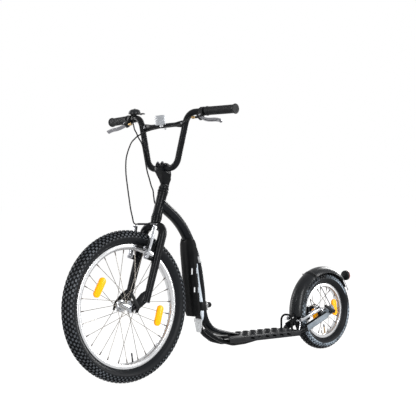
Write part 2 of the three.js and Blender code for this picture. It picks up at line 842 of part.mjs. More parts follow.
const otherSide = (point) => at(point.x, -point.y, point.z);

function addBar() {
  const left = [barFoot, barShoulder, barPointAt(barGripHalf - overrun)];
  const corners = [...left.map(otherSide).reverse(), ...left];
  add(steering, 'handlebar', pipe(rounded(corners, barBend), barRadius, 10), 'blackPaint');
  const end = barFoot.clone().lerp(barShoulder, crossbarShare);
  const brace = rod(otherSide(end), end, crossbarRadius, 14);
  const leg = rod(barFoot, barShoulder, barRadius + clearance, 14);
  add(steering, 'crossbar', cut(brace, leg, mirrored(leg)), 'blackPaint');
}

function grip() {
  const bore = barRadius + clearance * 2;
  const end = gripLength;
  const body = turned([
    [bore, 0], [gripRadius, 0], [gripRadius, end - gripFlangeRadius * 0.3], [gripFlangeRadius, end - gripFlangeRadius * 0.25],
    [gripFlangeRadius, end], [0, end], [0, end - overrun + clearance], [bore, end - overrun + clearance],
  ], 12, at(0, 0, 0), yAxis);
  return body;
}

// Each brake lever has its own frame: X out along the bar, Y from the bar to the blade

function leverMatrix() {
  const origin = barPointAt(leverPlace);
  const down = at(Math.cos(turn(leverTilt + headAngle)), 0, -Math.sin(turn(leverTilt + headAngle)));
  const toBlade = down.clone().addScaledVector(gripWay, -down.dot(gripWay)).normalize();
  return new THREE.Matrix4().makeBasis(gripWay, toBlade, gripWay.clone().cross(toBlade)).setPosition(origin);
}

function leverBlade() {
  const pivot = leverPivotOut;
  const reach = leverBladeLength;
  const line = new THREE.CatmullRomCurve3([
    at(0, pivot, 0), at(reach * 0.18, pivot + leverBladeDrop * 0.4, 0), at(reach * 0.45, pivot + leverBladeDrop * 0.66, 0),
    at(reach * 0.8, pivot + leverBladeDrop * 0.74, 0), at(reach, pivot + leverBladeDrop, 0),
  ]);
  const half = leverBladeThickness / 2;
  const bladeSteps = 7;
  const points = line.getSpacedPoints(bladeSteps);
  const edge = (sign) => points.map((point, i) => {
    const ahead = line.getTangentAt(i / bladeSteps);
    return [point.x - sign * ahead.y * half, point.y + sign * ahead.x * half];
  });
  const blade = plate(outlineOf([...edge(1), ...edge(-1).reverse()]), leverBladeWidth / 2, xAxis, yAxis);
  const root = rod(at(0, pivot, -leverBladeWidth / 2), at(0, pivot, leverBladeWidth / 2), leverBladeThickness, 14);
  const end = points.at(-1);
  const tip = rod(at(end.x, end.y, -leverBladeWidth / 2), at(end.x, end.y, leverBladeWidth / 2), half * 1.3, 10);
  const bore = rod(
    at(0, pivot, -leverBladeWidth), at(0, pivot, leverBladeWidth), leverPinRadius + clearance, 12,
  );
  return cut(joined(blade, root, tip), bore);
}

function leverClamp() {
  const half = leverBladeWidth / 2 + clearance;
  const cheek = half + 3;
  const pivot = leverPivotOut;
  const collar = ring(
    barRadius + clearance, leverCollarRadius, -leverCollarWidth, 0, 14, at(0, 0, 0), xAxis,
  );
  const root = leverBladeThickness;
  const outline = outlineOf([
    [-leverCollarWidth, leverCollarRadius * 0.8], [0, leverCollarRadius * 0.8], [root, pivot - root],
    [root, pivot + root * 0.6], [0, pivot + root], [-root, pivot + root], [-leverCollarWidth, pivot + root * 0.3],
  ]);
  const body = plate(outline, cheek, xAxis, yAxis);
  const room = joined(
    rod(at(0, pivot, -half), at(0, pivot, half), root + clearance * 2, 14),
    block(at(-root * 0.4, pivot - root, -half), at(root * 3, pivot + root * 3, half)),
  );
  const pin = rod(at(0, pivot, -cheek), at(0, pivot, cheek), leverPinRadius, 12);
  const barrel = rod(
    at(-leverCollarWidth + overrun, pivot, 0), at(-leverCollarWidth - adjusterLength, pivot, 0), adjusterRadius, 12,
  );
  const passage = rod(at(-leverCollarWidth * 2, 0, 0), at(leverCollarWidth, 0, 0), barRadius + clearance, 14);
  return joined(cut(joined(collar, body), room, passage), pin, barrel);
}

/** A point on the line of the left lever's adjuster, at a distance past its end, in the steering frame. */
function pastAdjuster(distance) {
  return at(-leverCollarWidth - adjusterLength - distance, leverPivotOut, 0).applyMatrix4(leverMatrix());
}

function addControls() {
  const toGrip = new THREE.Matrix4()
    .makeRotationFromQuaternion(new THREE.Quaternion().setFromUnitVectors(yAxis, gripWay))
    .setPosition(barPointAt(barGripHalf).addScaledVector(gripWay, -gripLength));
  addPair(steering, 'grip', moved(grip(), toGrip), 'rubber');
  addPair(steering, 'lever_clamp', moved(leverClamp(), leverMatrix()), 'blackPlastic');
  addPair(steering, 'brake_lever', moved(leverBlade(), leverMatrix()), 'silver');
}

// Bell on the right of the bar and reflector on the crossbar, both level with the ground

function addBell() {
  const seat = otherSide(barPointAt(bellPlace));
  const group = groupAt(steering, seat, headAngle);
  const way = otherSide(gripWay).applyAxisAngle(yAxis, turn(-headAngle));
  const band = barRadius + bellSheet * 1.25;
  const collar = ring(barRadius + clearance, band, -bellCollar / 2, bellCollar / 2, 14, at(0, 0, 0), way);
  const deck = band + clearance * 2;
  const base = joined(
    collar,
    rod(at(0, 0, barRadius + bellSheet / 2), at(0, 0, deck + bellSheet / 2), bellRadius * 0.25, 12),
    rod(at(0, 0, deck), at(0, 0, deck + bellSheet), bellRadius * 0.72, 14),
    bellLug(deck),
  );
  add(group, 'bell_base', base, 'blackPlastic');
  const low = deck + bellSheet + clearance;
  const crown = low + bellHeight;
  const inner = bellRadius - bellSheet;
  add(group, 'bell_dome', turned([
    [0, low], [bellSheet * 2, low], [bellSheet * 2, crown - bellSheet * 2], [inner * 0.6, crown - bellSheet * 2.4],
    [inner * 0.92, low + bellHeight * 0.5], [inner, low + bellSheet / 2], [bellRadius, low + bellSheet / 2],
    [bellRadius * 0.94, low + bellHeight * 0.55], [bellRadius * 0.68, crown - bellSheet],
    [bellSheet * 1.75, crown], [bellSheet * 1.75, crown + bellSheet], [0, crown + bellSheet],
  ], 14, at(0, 0, 0), zAxis), 'glossPlastic');
  add(group, 'bell_hammer', bellHammer(low), 'blackPlastic');
}

/** The lug and pin, at the back of the bell's base, that its hammer turns on. */
function bellLug(deck) {
  const pivot = bellPivot();
  const lug = rod(at(pivot.x, pivot.y, deck), at(pivot.x, pivot.y, deck + bellSheet), bellSheet * 2, 12);
  const bridge = rod(
    at(0, 0, deck + bellSheet / 2), at(pivot.x, pivot.y, deck + bellSheet / 2), bellSheet / 2, 8,
  );
  const pin = rod(
    at(pivot.x, pivot.y, deck + bellSheet / 2), at(pivot.x, pivot.y, deck + bellSheet * 4), bellSheet * 0.75, 10,
  );
  return joined(lug, bridge, pin);
}

function bellPivot() {
  return at(-bellRadius - bellSheet * 2.5, 0, 0);
}

function bellHammer(low) {
  const pivot = bellPivot();
  const half = bellSheet;
  const z = low + half;
  const outline = outlineOf([
    [-bellThumb, -half * 2], [0, -half * 1.6], [half * 1.6, 0], [half * 1.2, bellRadius * 0.7], [0, bellRadius * 0.7],
    [-half * 1.6, half], [-bellThumb, half * 2],
  ]);
  const lever = plate(outline, half, xAxis, yAxis, at(pivot.x, 0, z));
  const bore = rod(at(pivot.x, 0, low - half), at(pivot.x, 0, low + half * 4), bellSheet * 0.75 + clearance, 10);
  return cut(lever, bore);
}

const crossbarCentre = at(
  stemReach + barRun * crossbarShare, 0, stemHeight + barRise * crossbarShare,
);

function addFrontReflector() {
  const group = groupAt(steering, crossbarCentre, headAngle);
  const lift = crossbarRadius + frontReflectorHeight / 2 - bracketArmHalf;
  const reach = crossbarRadius + bracketReach;
  const clip = ring(
    crossbarRadius + clearance, crossbarRadius + bracketSheet, -bracketClipHalf, bracketClipHalf, 18, at(0, 0, 0), yAxis,
  );
  const plateHalf = frontReflectorWidth / 2 - bracketMargin;
  const rise = frontReflectorHeight / 2 - bracketMargin;
  const back = block(
    at(reach - bracketSheet, -plateHalf, lift - rise), at(reach, plateHalf, lift + rise),
  );
  const arm = block(
    at(0, -bracketArmHalf, crossbarRadius + bracketMargin),
    at(reach - bracketMargin * 2, bracketArmHalf, crossbarRadius + bracketReach),
  );
  add(group, 'front_reflector_bracket', joined(clip, back, arm), 'clear');
  const lens = plate(
    oval(frontReflectorWidth, frontReflectorHeight), frontReflectorThickness / 2, yAxis, zAxis,
    at(reach + clearance + frontReflectorThickness / 2, 0, lift),
  );
  add(group, 'front_reflector_lens', lens, 'clear');
}

addFrontEnd();
addStem();
addBar();
addControls();
addBell();
addFrontReflector();

// Footboard and what stands on it

const deckOrigin = at(deckRear, 0, deckHeight);
const deckFrame = groupAt(bike, deckOrigin, -deckPitch);

/** A place in the bike's frame that lies at a place of the footboard's frame. */
function fromDeck(x, y, z) {
  const [c, s] = [Math.cos(turn(deckPitch)), Math.sin(turn(deckPitch))];
  return at(deckOrigin.x + x * c - z * s, y, deckOrigin.z + x * s + z * c);
}

function footboard() {
  const [half, sheet, flange] = [deckHalf, deckSheet, deckFlange];
  const corner = sheet * 1.2;
  const section = outlineOf([
    [-half, -flange], [-half, -corner], [-half + corner, 0], [half - corner, 0], [half, -corner], [half, -flange],
    [half - sheet, -flange], [half - sheet, -sheet], [-half + sheet, -sheet], [-half + sheet, -flange],
  ]);
  const middle = at(deckLength / 2, 0, 0);
  const channel = plate(section, deckLength / 2, yAxis, zAxis, middle);
  const slot = new THREE.Matrix4();
  const slots = [];
  const collars = [];
  const holes = [];
  for (let column = 0; column < deckHoleColumns; column += 1) {
    const x = deckFirstColumn + column * deckColumnPitch;
    for (let row = 0; row < deckHoleRows; row += 1) {
      const y = (row - (deckHoleRows - 1) / 2) * deckRowPitch;
      const top = deckRimHeight;
      holes.push(rod(at(x, y, -sheet * 2), at(x, y, top * 2), deckHoleRadius, 8));
      collars.push(rod(at(x, y, -sheet / 2), at(x, y, top), deckRimRadius, 8, deckHoleRadius + sheet / 2));
    }
    if (column < deckHoleColumns - 1) {
      const opening = plate(oval(deckSlotLength, deckSlotHeight), half * 2, xAxis, zAxis);
      slot.makeRotationY(turn(-deckSlotTilt)).setPosition(x + deckColumnPitch / 2, 0, -flange / 2);
      slots.push(moved(opening, slot));
    }
  }
  const saddles = [saddleLength * 1.6, saddleLength * 10].flatMap((x) => [-1, 1].map((side) => block(
    at(x - saddleLength / 2, side * railHalf - railRadius, -railDrop + railRadius + clearance),
    at(x + saddleLength / 2, side * railHalf + railRadius, -sheet / 2),
  )));
  return joined(cut(joined(channel, ...collars), ...holes, ...slots), ...saddles);
}

function heelHoop() {
  const base = clearance;
  const top = hoopHeight - hoopRadius;
  const corners = [
    at(hoopPlace, -hoopHalf, base), at(hoopPlace, -hoopHalf, top), at(hoopPlace, hoopHalf, top),
    at(hoopPlace, hoopHalf, base),
  ];
  const feet = [-1, 1].map((side) => rod(
    at(hoopPlace, side * hoopHalf, base), at(hoopPlace, side * hoopHalf, base + hoopRadius), hoopRadius * 1.8, 8,
  ));
  return joined(pipe(rounded(corners, hoopBend), hoopRadius, 8), ...feet);
}

// Down tube: shares of the way from its tail on the footboard to the head tube, of the climb,
// and of its depth and width

const downTubeStationShares = [
  [1, 1, 1, 1], [0.925, 0.959, 1.03, 1.02], [0.788, 0.882, 1, 1], [0.678, 0.786, 0.97, 1], [0.58, 0.647, 0.92, 0.98],
  [0.528, 0.518, 0.92, 0.98], [0.499, 0.371, 0.92, 0.98], [0.487, 0.239, 0.89, 0.98], [0.452, 0.147, 0.81, 0.95],
  [0.377, 0.08, 0.7, 0.91], [0.29, 0.047, 0.59, 0.91], [0.188, 0.0276, 0.49, 0.91], [0.087, 0.0153, 0.3, 0.91],
  [0, 0.0057, 0.15, 0.91],
];
const tailSeat = fromDeck((downTubeTail - deckRear), 0, 0);
const tubeHead = fromSteering(0, 0, downTubeTop);

function downTubeLine() {
  const lift = tailSeat.z + clearance * 2;
  return downTubeStationShares.map(([along, climb]) => at(
    THREE.MathUtils.lerp(tailSeat.x, tubeHead.x, along), 0, THREE.MathUtils.lerp(lift, tubeHead.z, climb),
  ));
}

/** The down tube grown by a margin, so that what seats on it can be cut to fit. */
function downTubeBody(margin, from = 0, to = downTubeStationShares.length) {
  const shares = downTubeStationShares.slice(from, to);
  const sectionAt = (i) => ellipse(
    downTubeWidth / 2 * shares[i][3] + margin, downTubeDepth / 2 * shares[i][2] + margin, 12,
  );
  return loft(ringsAlong(downTubeLine().slice(from, to), sectionAt));
}

function headTubeSolid(margin) {
  const [low, high] = [fromSteering(0, 0, -margin), fromSteering(0, 0, headTubeLength + margin)];
  return rod(low, high, headTubeRadius + margin, 24);
}

// Side rails: shares of the way from the footboard's rear edge to their seat on the down tube,
// of their half spacing, and of the seat's height

const railStationShares = [
  [0.013, 1, 0.56], [0.245, 1, 0.583], [0.475, 1, 0.607], [0.615, 1, 0.565], [0.75, 1, 0.57], [0.87, 0.92, 0.68],
  [0.955, 0.66, 0.84],
];

function sideRail() {
  const seat = downTubeLine()[8];
  const stations = railStationShares.map(([along, aside, height]) => at(
    THREE.MathUtils.lerp(deckRear, seat.x, along), railHalf * aside, seat.z * height * 0.79,
  ));
  const stayMiddle = stayOuterHalf - stayThickness / 2;
  const start = fromStay(stayEnd + clearance, stayMiddle, 0);
  const socket = fromStay(stayEnd + railRadius, stayMiddle, 0);
  const end = at(seat.x + railRadius, railTopHalf, seat.z - downTubeDepth);
  const route = rounded([start, socket, ...stations, end], railHalf * 2);
  return cut(pipe(route, railRadius, 8), downTubeBody(clearance, 4));
}

// Rear stays, with X forward along the stay and Z square to it

const stayFrame = groupAt(bike, at(0, 0, rearWheel.radius), stayPitch);

function fromStay(x, y, z) {
  const [c, s] = [Math.cos(turn(stayPitch)), Math.sin(turn(stayPitch))];
  return at(x * c + z * s, y, rearWheel.radius - x * s + z * c);
}

function rearStay() {
  const [rise, half] = [stayHeight / 2, stayThickness / 2];
  const middle = stayOuterHalf - half;
  const corner = stayWall * 1.5;
  const box = (up, out, from, to) => {
    const shape = outlineOf([
      [-out, -up + corner], [-out + corner, -up], [out - corner, -up], [out, -up + corner],
      [out, up - corner], [out - corner, up], [-out + corner, up], [-out, up - corner],
    ]);
    return plate(shape, (to - from) / 2, yAxis, zAxis, at((from + to) / 2, middle, 0));
  };
  const tube = cut(
    box(rise, half, stayStart, stayEnd),
    box(rise - stayWall, half - stayWall, stayStart - overrun, stayStart + stayHeight * 2),
  );
  const slot = axleRadius + clearance;
  const ear = outlineOf([
    [-slot * 4.6, -rise * 0.4], [-slot * 4, -rise * 0.9], [slot * 5, -rise * 0.9], [slot * 14, -rise * 0.6],
    [slot * 14, rise * 0.8], [slot * 8, rise * 1.3], [slot, rise * 1.6], [-slot * 3.6, rise * 1.3], [-slot * 4.6, rise * 0.5],
  ]);
  const plateHalf = dropoutThickness / 2;
  const dropout = plate(ear, plateHalf, xAxis, zAxis, at(0, rearDropoutHalf + plateHalf, 0));
  const hole = rod(at(0, rearDropoutHalf - overrun, 0), at(0, stayOuterHalf, 0), slot, 12);
  const post = mirrored(moved(brakePost(rearBrake, 0), rearBrakeMatrix()));
  return joined(cut(joined(tube, dropout), hole), post);
}

/** The rear brake's frame within the stay's: its Z lies along the stay and its X square to it. */
function rearBrakeMatrix() {
  return new THREE.Matrix4().makeBasis(zAxis, yAxis.clone().negate(), xAxis);
}

function addRearEnd() {
  addPair(stayFrame, 'rear_stay', rearStay(), 'blackPaint');
  const arm = moved(brakeArm(rearBrake, rearWheel.rimWidth / 2), rearBrakeMatrix());
  addPair(stayFrame, 'rear_brake_arm', mirrored(arm), 'silver');
  const axle = groupAt(bike, at(0, 0, rearWheel.radius));
  add(axle, 'rear_axle', axlePiece(rearDropoutHalf + dropoutThickness + mudguardSheet), 'steel');
  add(axle, 'rear_quick_release', quickRelease(rearQuickReleaseAngle), 'blackPlastic');
  addWheel(axle, 'rear', rearWheel);
}

// Rear mudguard, about the rear axle

function mudguardSection(margin, sheet, edge) {
  const spread = turn(70);
  const shares = [-1, -0.7, -0.35, 0, 0.35, 0.7, 1];
  const arc = (share, inset) => {
    const drop = (Math.cos(share * spread) - Math.cos(spread)) / (1 - Math.cos(spread));
    const half = mudguardHalf + margin - inset;
    return [half * Math.sin(share * spread) / Math.sin(spread), edge + (mudguardCrown + margin - inset - edge) * drop];
  };
  return [...shares.map((s) => arc(s, 0)), ...shares.map((s) => arc(-s, sheet))];
}

function mudguardArc(from, to, steps, margin, sheet, edgeAt) {
  const rings = Array.from({ length: steps + 1 }, (_, k) => {
    const share = k / steps;
    const degrees = THREE.MathUtils.lerp(from, to, share);
    return mudguardSection(margin, sheet, edgeAt(share)).map(([y, r]) => wheelPoint(r, degrees, y));
  });
  return loft(rings);
}

function mudguard() {
  const tailShare = 0.86;
  const flare = mudguardEdge * 0.08;
  const edgeAt = (share) => mudguardEdge - flare * Math.max(0, (share - tailShare) / (1 - tailShare));
  const guard = mudguardArc(mudguardFrom, mudguardTo, 16, 0, mudguardSheet, edgeAt);
  const band = mudguardArc(
    mudguardStayAngle - mudguardBandHalf, mudguardStayAngle + mudguardBandHalf, 2, mudguardSheet / 2, mudguardSheet, () => mudguardEdge,
  );
  const tabs = [-1, 1].map((side) => {
    const inner = wheelPoint(mudguardEdge - mudguardTabDepth, mudguardStayAngle, side * (mudguardHalf - mudguardSheet / 2));
    const outer = wheelPoint(mudguardEdge + mudguardTabDepth, mudguardStayAngle, side * (mudguardHalf - mudguardSheet / 2));
    return rod(inner, outer, mudguardSheet, 8);
  });
  return joined(guard, band, ...tabs);
}

/** A wire from an eye on the axle to the tab on the mudguard's edge. */
function mudguardStay() {
  const eyeOuter = axleRadius * 2.5;
  const low = rearDropoutHalf + dropoutThickness + clearance;
  const high = low + mudguardSheet - clearance * 2;
  const eye = ring(axleRadius + clearance, eyeOuter, low, high, 16);
  const wireHalf = low + mudguardWireRadius;
  const rise = wheelPoint(eyeOuter * 0.9, mudguardStayAngle + 10, wireHalf);
  const knee = wheelPoint(eyeOuter * 2.5, mudguardStayAngle + 10, wireHalf);
  const end = wheelPoint(
    mudguardEdge - mudguardTabDepth, mudguardStayAngle, mudguardHalf + mudguardSheet / 2 + clearance + mudguardWireRadius,
  );
  return joined(eye, pipe(rounded([rise, knee, end], eyeOuter), mudguardWireRadius, 8));
}

function addMudguard() {
  const group = groupAt(bike, at(0, 0, rearWheel.radius));
  add(group, 'rear_mudguard', mudguard(), 'glossPlastic');
  addPair(group, 'mudguard_stay', mudguardStay(), 'steel');
  const centre = at(-rearReflectorReach, 0, rearReflectorRise);
  const back = centre.clone().addScaledVector(xAxis, -rearReflectorThickness / 2);
  const front = centre.clone().addScaledVector(xAxis, rearReflectorThickness / 2);
  const foot = wheelPoint(mudguardCrown - overrun, rearReflectorFoot, 0);
  const housing = joined(
    rod(back, front, rearReflectorRadius, 24),
    rod(foot, centre.clone().add(at(0, 0, -rearReflectorRadius * 0.4)), rearReflectorNeck, 12),
  );
  const seat = rod(at(0, -mudguardHalf, 0), at(0, mudguardHalf, 0), mudguardCrown + clearance, 72);
  add(group, 'rear_reflector_housing', cut(housing, seat), 'blackPlastic');
  const lensBack = back.clone().addScaledVector(xAxis, -clearance);
  const lens = rod(lensBack, lensBack.clone().addScaledVector(xAxis, -rearLensThickness), rearReflectorRadius, 24, rearReflectorRadius * 0.85);
  add(group, 'rear_reflector_lens', lens, 'red');
}

// Spray guard in front of the down tube

const guardLevelShares = [
  [0, 0.9, 0.8], [0.06, 1, 1], [0.3, 1, 1], [0.6, 1, 1], [0.8, 1, 1], [0.9, 0.93, 0.95], [0.96, 0.78, 0.8], [1, 0.45, 0.5],
];

/** The front face of the guard at a share of its height. */
function guardFront(share) {
  const line = downTubeLine();
  return line[7].x + guardStandOff + (line[4].x - line[7].x) * guardLeanShare * share;
}

function guardShell() {
  const rings = guardLevelShares.map(([share, wide, deep]) => {
    const z = THREE.MathUtils.lerp(guardBottom, guardTop, share);
    const front = guardFront(share) - guardDepth * (1 - deep) * 0.6;
    const [half, depth] = [guardHalf * wide, guardDepth * deep];
    const outer = [[-1, 1], [-1, 0.4], [-0.7, 0.06], [-0.25, 0], [0, 0.05], [0.25, 0], [0.7, 0.06], [1, 0.4], [1, 1]];
    const path = outer.map(([y, x]) => [y * half, front - x * depth]);
    const inner = outer.map(([y, x]) => [y * (half - guardSheet), front - guardSheet - x * (depth - guardSheet)]).reverse();
    return [...path, ...inner].map(([y, x]) => at(x, y, z));
  });
  const slots = [0.33, 0.57].map((share) => {
    const z = THREE.MathUtils.lerp(guardBottom, guardTop, share);
    const x = guardFront(share) - guardDepth * 0.72;
    return block(
      at(x - guardSlotHalfDepth, -guardHalf * 2, z - guardSlotHalfHeight),
      at(x + guardSlotHalfDepth, guardHalf * 2, z + guardSlotHalfHeight),
    );
  });
  return cut(loft(rings), ...slots);
}

/** A band round the down tube and the stand-off that carries the guard, at a height. */
function strap(z, height, frontX) {
  const grown = downTubeBody(clearance + strapThickness);
  const space = downTubeBody(clearance);
  const slice = block(at(0, -guardHalf, z - height / 2), at(wheelbase, guardHalf, z + height / 2));
  const bandPiece = grown.intersect(slice);
  const standOff = block(at(frontX - guardDepth * 1.5, -guardHalf * 0.3, z - height * 0.4), at(frontX, guardHalf * 0.3, z + height * 0.4));
  return cut(joined(bandPiece, standOff), space);
}

function addGuard() {
  const upperShare = 0.7;
  const upperZ = THREE.MathUtils.lerp(guardBottom, guardTop, upperShare);
  const upper = strap(upperZ, strapHeight, guardFront(upperShare) - guardSheet / 2);
  add(bike, 'spray_guard', cut(joined(guardShell(), upper), downTubeBody(clearance)), 'blackPlastic');
  const knobZ = guardBottom + strapHeight * 1.5;
  const share = (knobZ - guardBottom) / (guardTop - guardBottom);
  const lower = strap(knobZ, strapHeight * 1.4, guardFront(share) - guardSheet * 2 - clearance);
  const line = downTubeLine();
  const rear = line[7].x - downTubeDepth / 2 * 0.9;
  const bossEnd = rear - strapThickness - knobBossLength;
  const boss = rod(
    at(rear - strapThickness, 0, knobZ), at(bossEnd, 0, knobZ), knobRadius + knobBossFlare, 16, knobRadius * 0.9,
  );
  const flapX = line[8].x + downTubeDepth * 0.75;
  const tongueFoot = guardBottom - tongueDrop;
  const tongue = block(
    at(flapX - tongueHalfThickness, -tongueHalfWidth, tongueFoot), at(flapX + tongueHalfThickness, tongueHalfWidth, knobZ),
  );
  add(bike, 'guard_bracket', cut(joined(lower, boss, tongue), downTubeBody(clearance)), 'blackPlastic');
  const knobFrom = bossEnd - clearance;
  add(bike, 'guard_knob', rod(at(knobFrom, 0, knobZ), at(knobFrom - knobLength, 0, knobZ), knobRadius, 10, knobRadius * 0.85), 'rubber');
  const flapTop = tongueFoot - clearance;
  const flapFoot = flapTop - flapHeight;
  const flap = outlineOf([
    [-flapTopHalf, flapTop], [flapTopHalf, flapTop], [flapFootLeft, flapFoot], [-flapFootRight, flapFoot],
  ]);
  add(bike, 'mud_flap', plate(flap, flapHalfThickness, yAxis, zAxis, at(flapX, 0, 0)), 'clear');
}

// Brake cables, on the routes that they take

const rearCableSplit = 84;

function frontCableRoute() {
  const height = bootHeight(frontBrake) - forkLength;
  const x = forkRake + frontBrake.plane;
  return [
    pastAdjuster(clearance), pastAdjuster(adjusterLength / 2), at(86, 134, 309), at(82, 112, 302), at(80, 60, 300), at(80, 0, 298), at(82, -60, 290), at(86, -100, 274),
    at(98, -103, 256), at(108, -101, 240), at(115, -97, 219), at(119, -94, 198), at(120, -92, 176), at(116, -90, 152),
    at(108, -85, 118), at(90, -78, 70), at(77, -73, 37), at(64, -70, 8), at(50, -68, -16), at(x + 3, -66, height + 6),
    at(x, -58, height), at(x, -44, height),
  ];
}

function rearCableUpperRoute() {
  const start = otherSide(pastAdjuster(clearance));
  return [
    start, otherSide(pastAdjuster(adjusterLength / 2)), at(84, -136, 300), at(80, -126, 288), at(74, -116, 272), at(64, -98, 250), at(60, -86, 226), at(54, -70, 190),
    at(42, -62, 160), at(39, -52, 134), at(30, -43, 112), at(16, -34, 92), at(14, -33, rearCableSplit + clearance),
  ];
}

// The rear cable beside the down tube: shares of the way along it and of its climb, with the place across between them
const rearCableTubeShares = [
  [0.9351, -28, 0.9791], [0.8066, -28, 0.9057], [0.6606, -29, 0.7997], [0.5788, -28.5, 0.6978], [0.5437, -28.5, 0.6366],
  [0.5087, -28.5, 0.5184], [0.4795, -28.5, 0.3716], [0.4678, -28.5, 0.2391], [0.4474, -29, 0.1637], [0.4006, -33, 0.0903],
  [0.351, -35, 0.0413], [0.3042, -27, 0.0138], [0.2517, -16, -0.0035], [0.2108, -10, -0.0137],
];

function besideTube(along, y, climb) {
  const lift = tailSeat.z + clearance * 2;
  return at(
    THREE.MathUtils.lerp(tailSeat.x, tubeHead.x, along), y, THREE.MathUtils.lerp(lift, tubeHead.z, climb),
  );
}

function rearCableRoute() {
  return [
    fromSteering(14, -33, rearCableSplit - clearance), fromSteering(9, -31, 70), fromSteering(-2, -29, 50),
    ...rearCableTubeShares.map(([along, y, climb]) => besideTube(along, y, climb)), at(520, -8, 97), at(470, -8, 93), at(400, -8, 91), at(300, -8, 90), at(266, 2, 91), at(250, 18, 92.6),
    at(242, 32, 92.6), at(234, 42, 89), at(224, 45, 86),
  ];
}

function addCables() {
  const line = bootHeight(frontBrake) - forkLength;
  const plane = forkRake + frontBrake.plane;
  const wireEnd = frontBrake.tipHalf + armRootRadius;
  const front = joined(
    pipe(frontCableRoute(), cableRadius, 6),
    rod(at(plane, -frontBootStart, line), at(plane, frontBootEnd, line), bootRadius, 10),
    rod(at(plane, 0, line), at(plane, wireEnd, line), wireRadius, 8),
  );
  add(steering, 'front_brake_cable', front, 'rubber');
  add(steering, 'rear_brake_cable_upper', pipe(rearCableUpperRoute(), cableRadius, 6), 'rubber');
  add(bike, 'rear_brake_cable', pipe(rearCableRoute(), cableRadius, 6), 'rubber');
  const height = bootHeight(rearBrake);
  const seat = (y) => fromStay(height, y, rearBrake.plane);
  const noodle = [
    at(222.6, 45, 85.6), at(212, 45, 84.5), at(199, 45, 86), at(189, 45, 91), at(182, 45, 100), at(177, 44, 110), at(173, 41, 119),
    seat(34), seat(24), seat(14),
  ];
  const rearLine = joined(
    pipe(noodle, cableRadius, 8),
    rod(seat(rearBootStart), seat(-rearBootEnd), bootRadius, 10),
    rod(seat(0), seat(-rearBrake.tipHalf - armRootRadius), wireRadius, 8),
  );
  add(bike, 'rear_brake_noodle', rearLine, 'silver');
}

function addFrame() {
  const bore = rod(fromSteering(0, 0, -overrun), fromSteering(0, 0, headTubeLength + overrun), headTubeBore, 24);
  add(bike, 'head_tube', cut(headTubeSolid(0), bore), 'blackPaint');
  add(bike, 'down_tube', cut(downTubeBody(0), headTubeSolid(clearance)), 'blackPaint');
  addPair(bike, 'side_rail', sideRail(), 'blackPaint');
  add(deckFrame, 'footboard', footboard(), 'blackPaint');
  add(deckFrame, 'heel_hoop', heelHoop(), 'blackPaint');
  const cups = groupAt(bike, headFoot, -headAngle);
  const cupBore = steererRadius + clearance;
  add(cups, 'headset_lower_cup', turned([
    [cupBore, -lowerCupHeight], [cupRadius - 2, -lowerCupHeight], [cupRadius, -lowerCupHeight * 0.5],
    [cupRadius, -clearance], [cupBore, -clearance],
  ], 16, at(0, 0, 0), zAxis), 'blackPaint');
  const seat = headTubeLength + clearance;
  add(cups, 'headset_upper_cup', turned([
    [cupBore, seat], [cupRadius, seat], [cupRadius, seat + upperCupHeight * 0.6],
    [cupRadius - 2, headTubeLength + upperCupHeight], [cupBore, headTubeLength + upperCupHeight],
  ], 16, at(0, 0, 0), zAxis), 'blackPaint');
}

addFrame();
addRearEnd();
addMudguard();
addGuard();
addCables();

// The origin is on the ground under the middle of the whole bike
bike.updateMatrixWorld(true);
const bounds = new THREE.Box3().setFromObject(bike, true);
const middle = bounds.getCenter(at(0, 0, 0));
bike.position.set(-middle.x, -middle.y, -bounds.min.z);

export default bike;
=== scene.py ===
"""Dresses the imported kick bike: smooth, detailed pieces and finishes over its frame.

Every sub-assembly is a class. Its sizes are in millimetres of its own frame, and a matrix takes them to
the part's frame in metres: X forward, Y to the rider's left, Z up, with the ground at zero.
"""

from __future__ import annotations

import json
import logging
import math
from dataclasses import dataclass
from enum import Enum
from typing import Callable, Iterable, Sequence

import bmesh
import bpy
from mathutils import Matrix, Vector

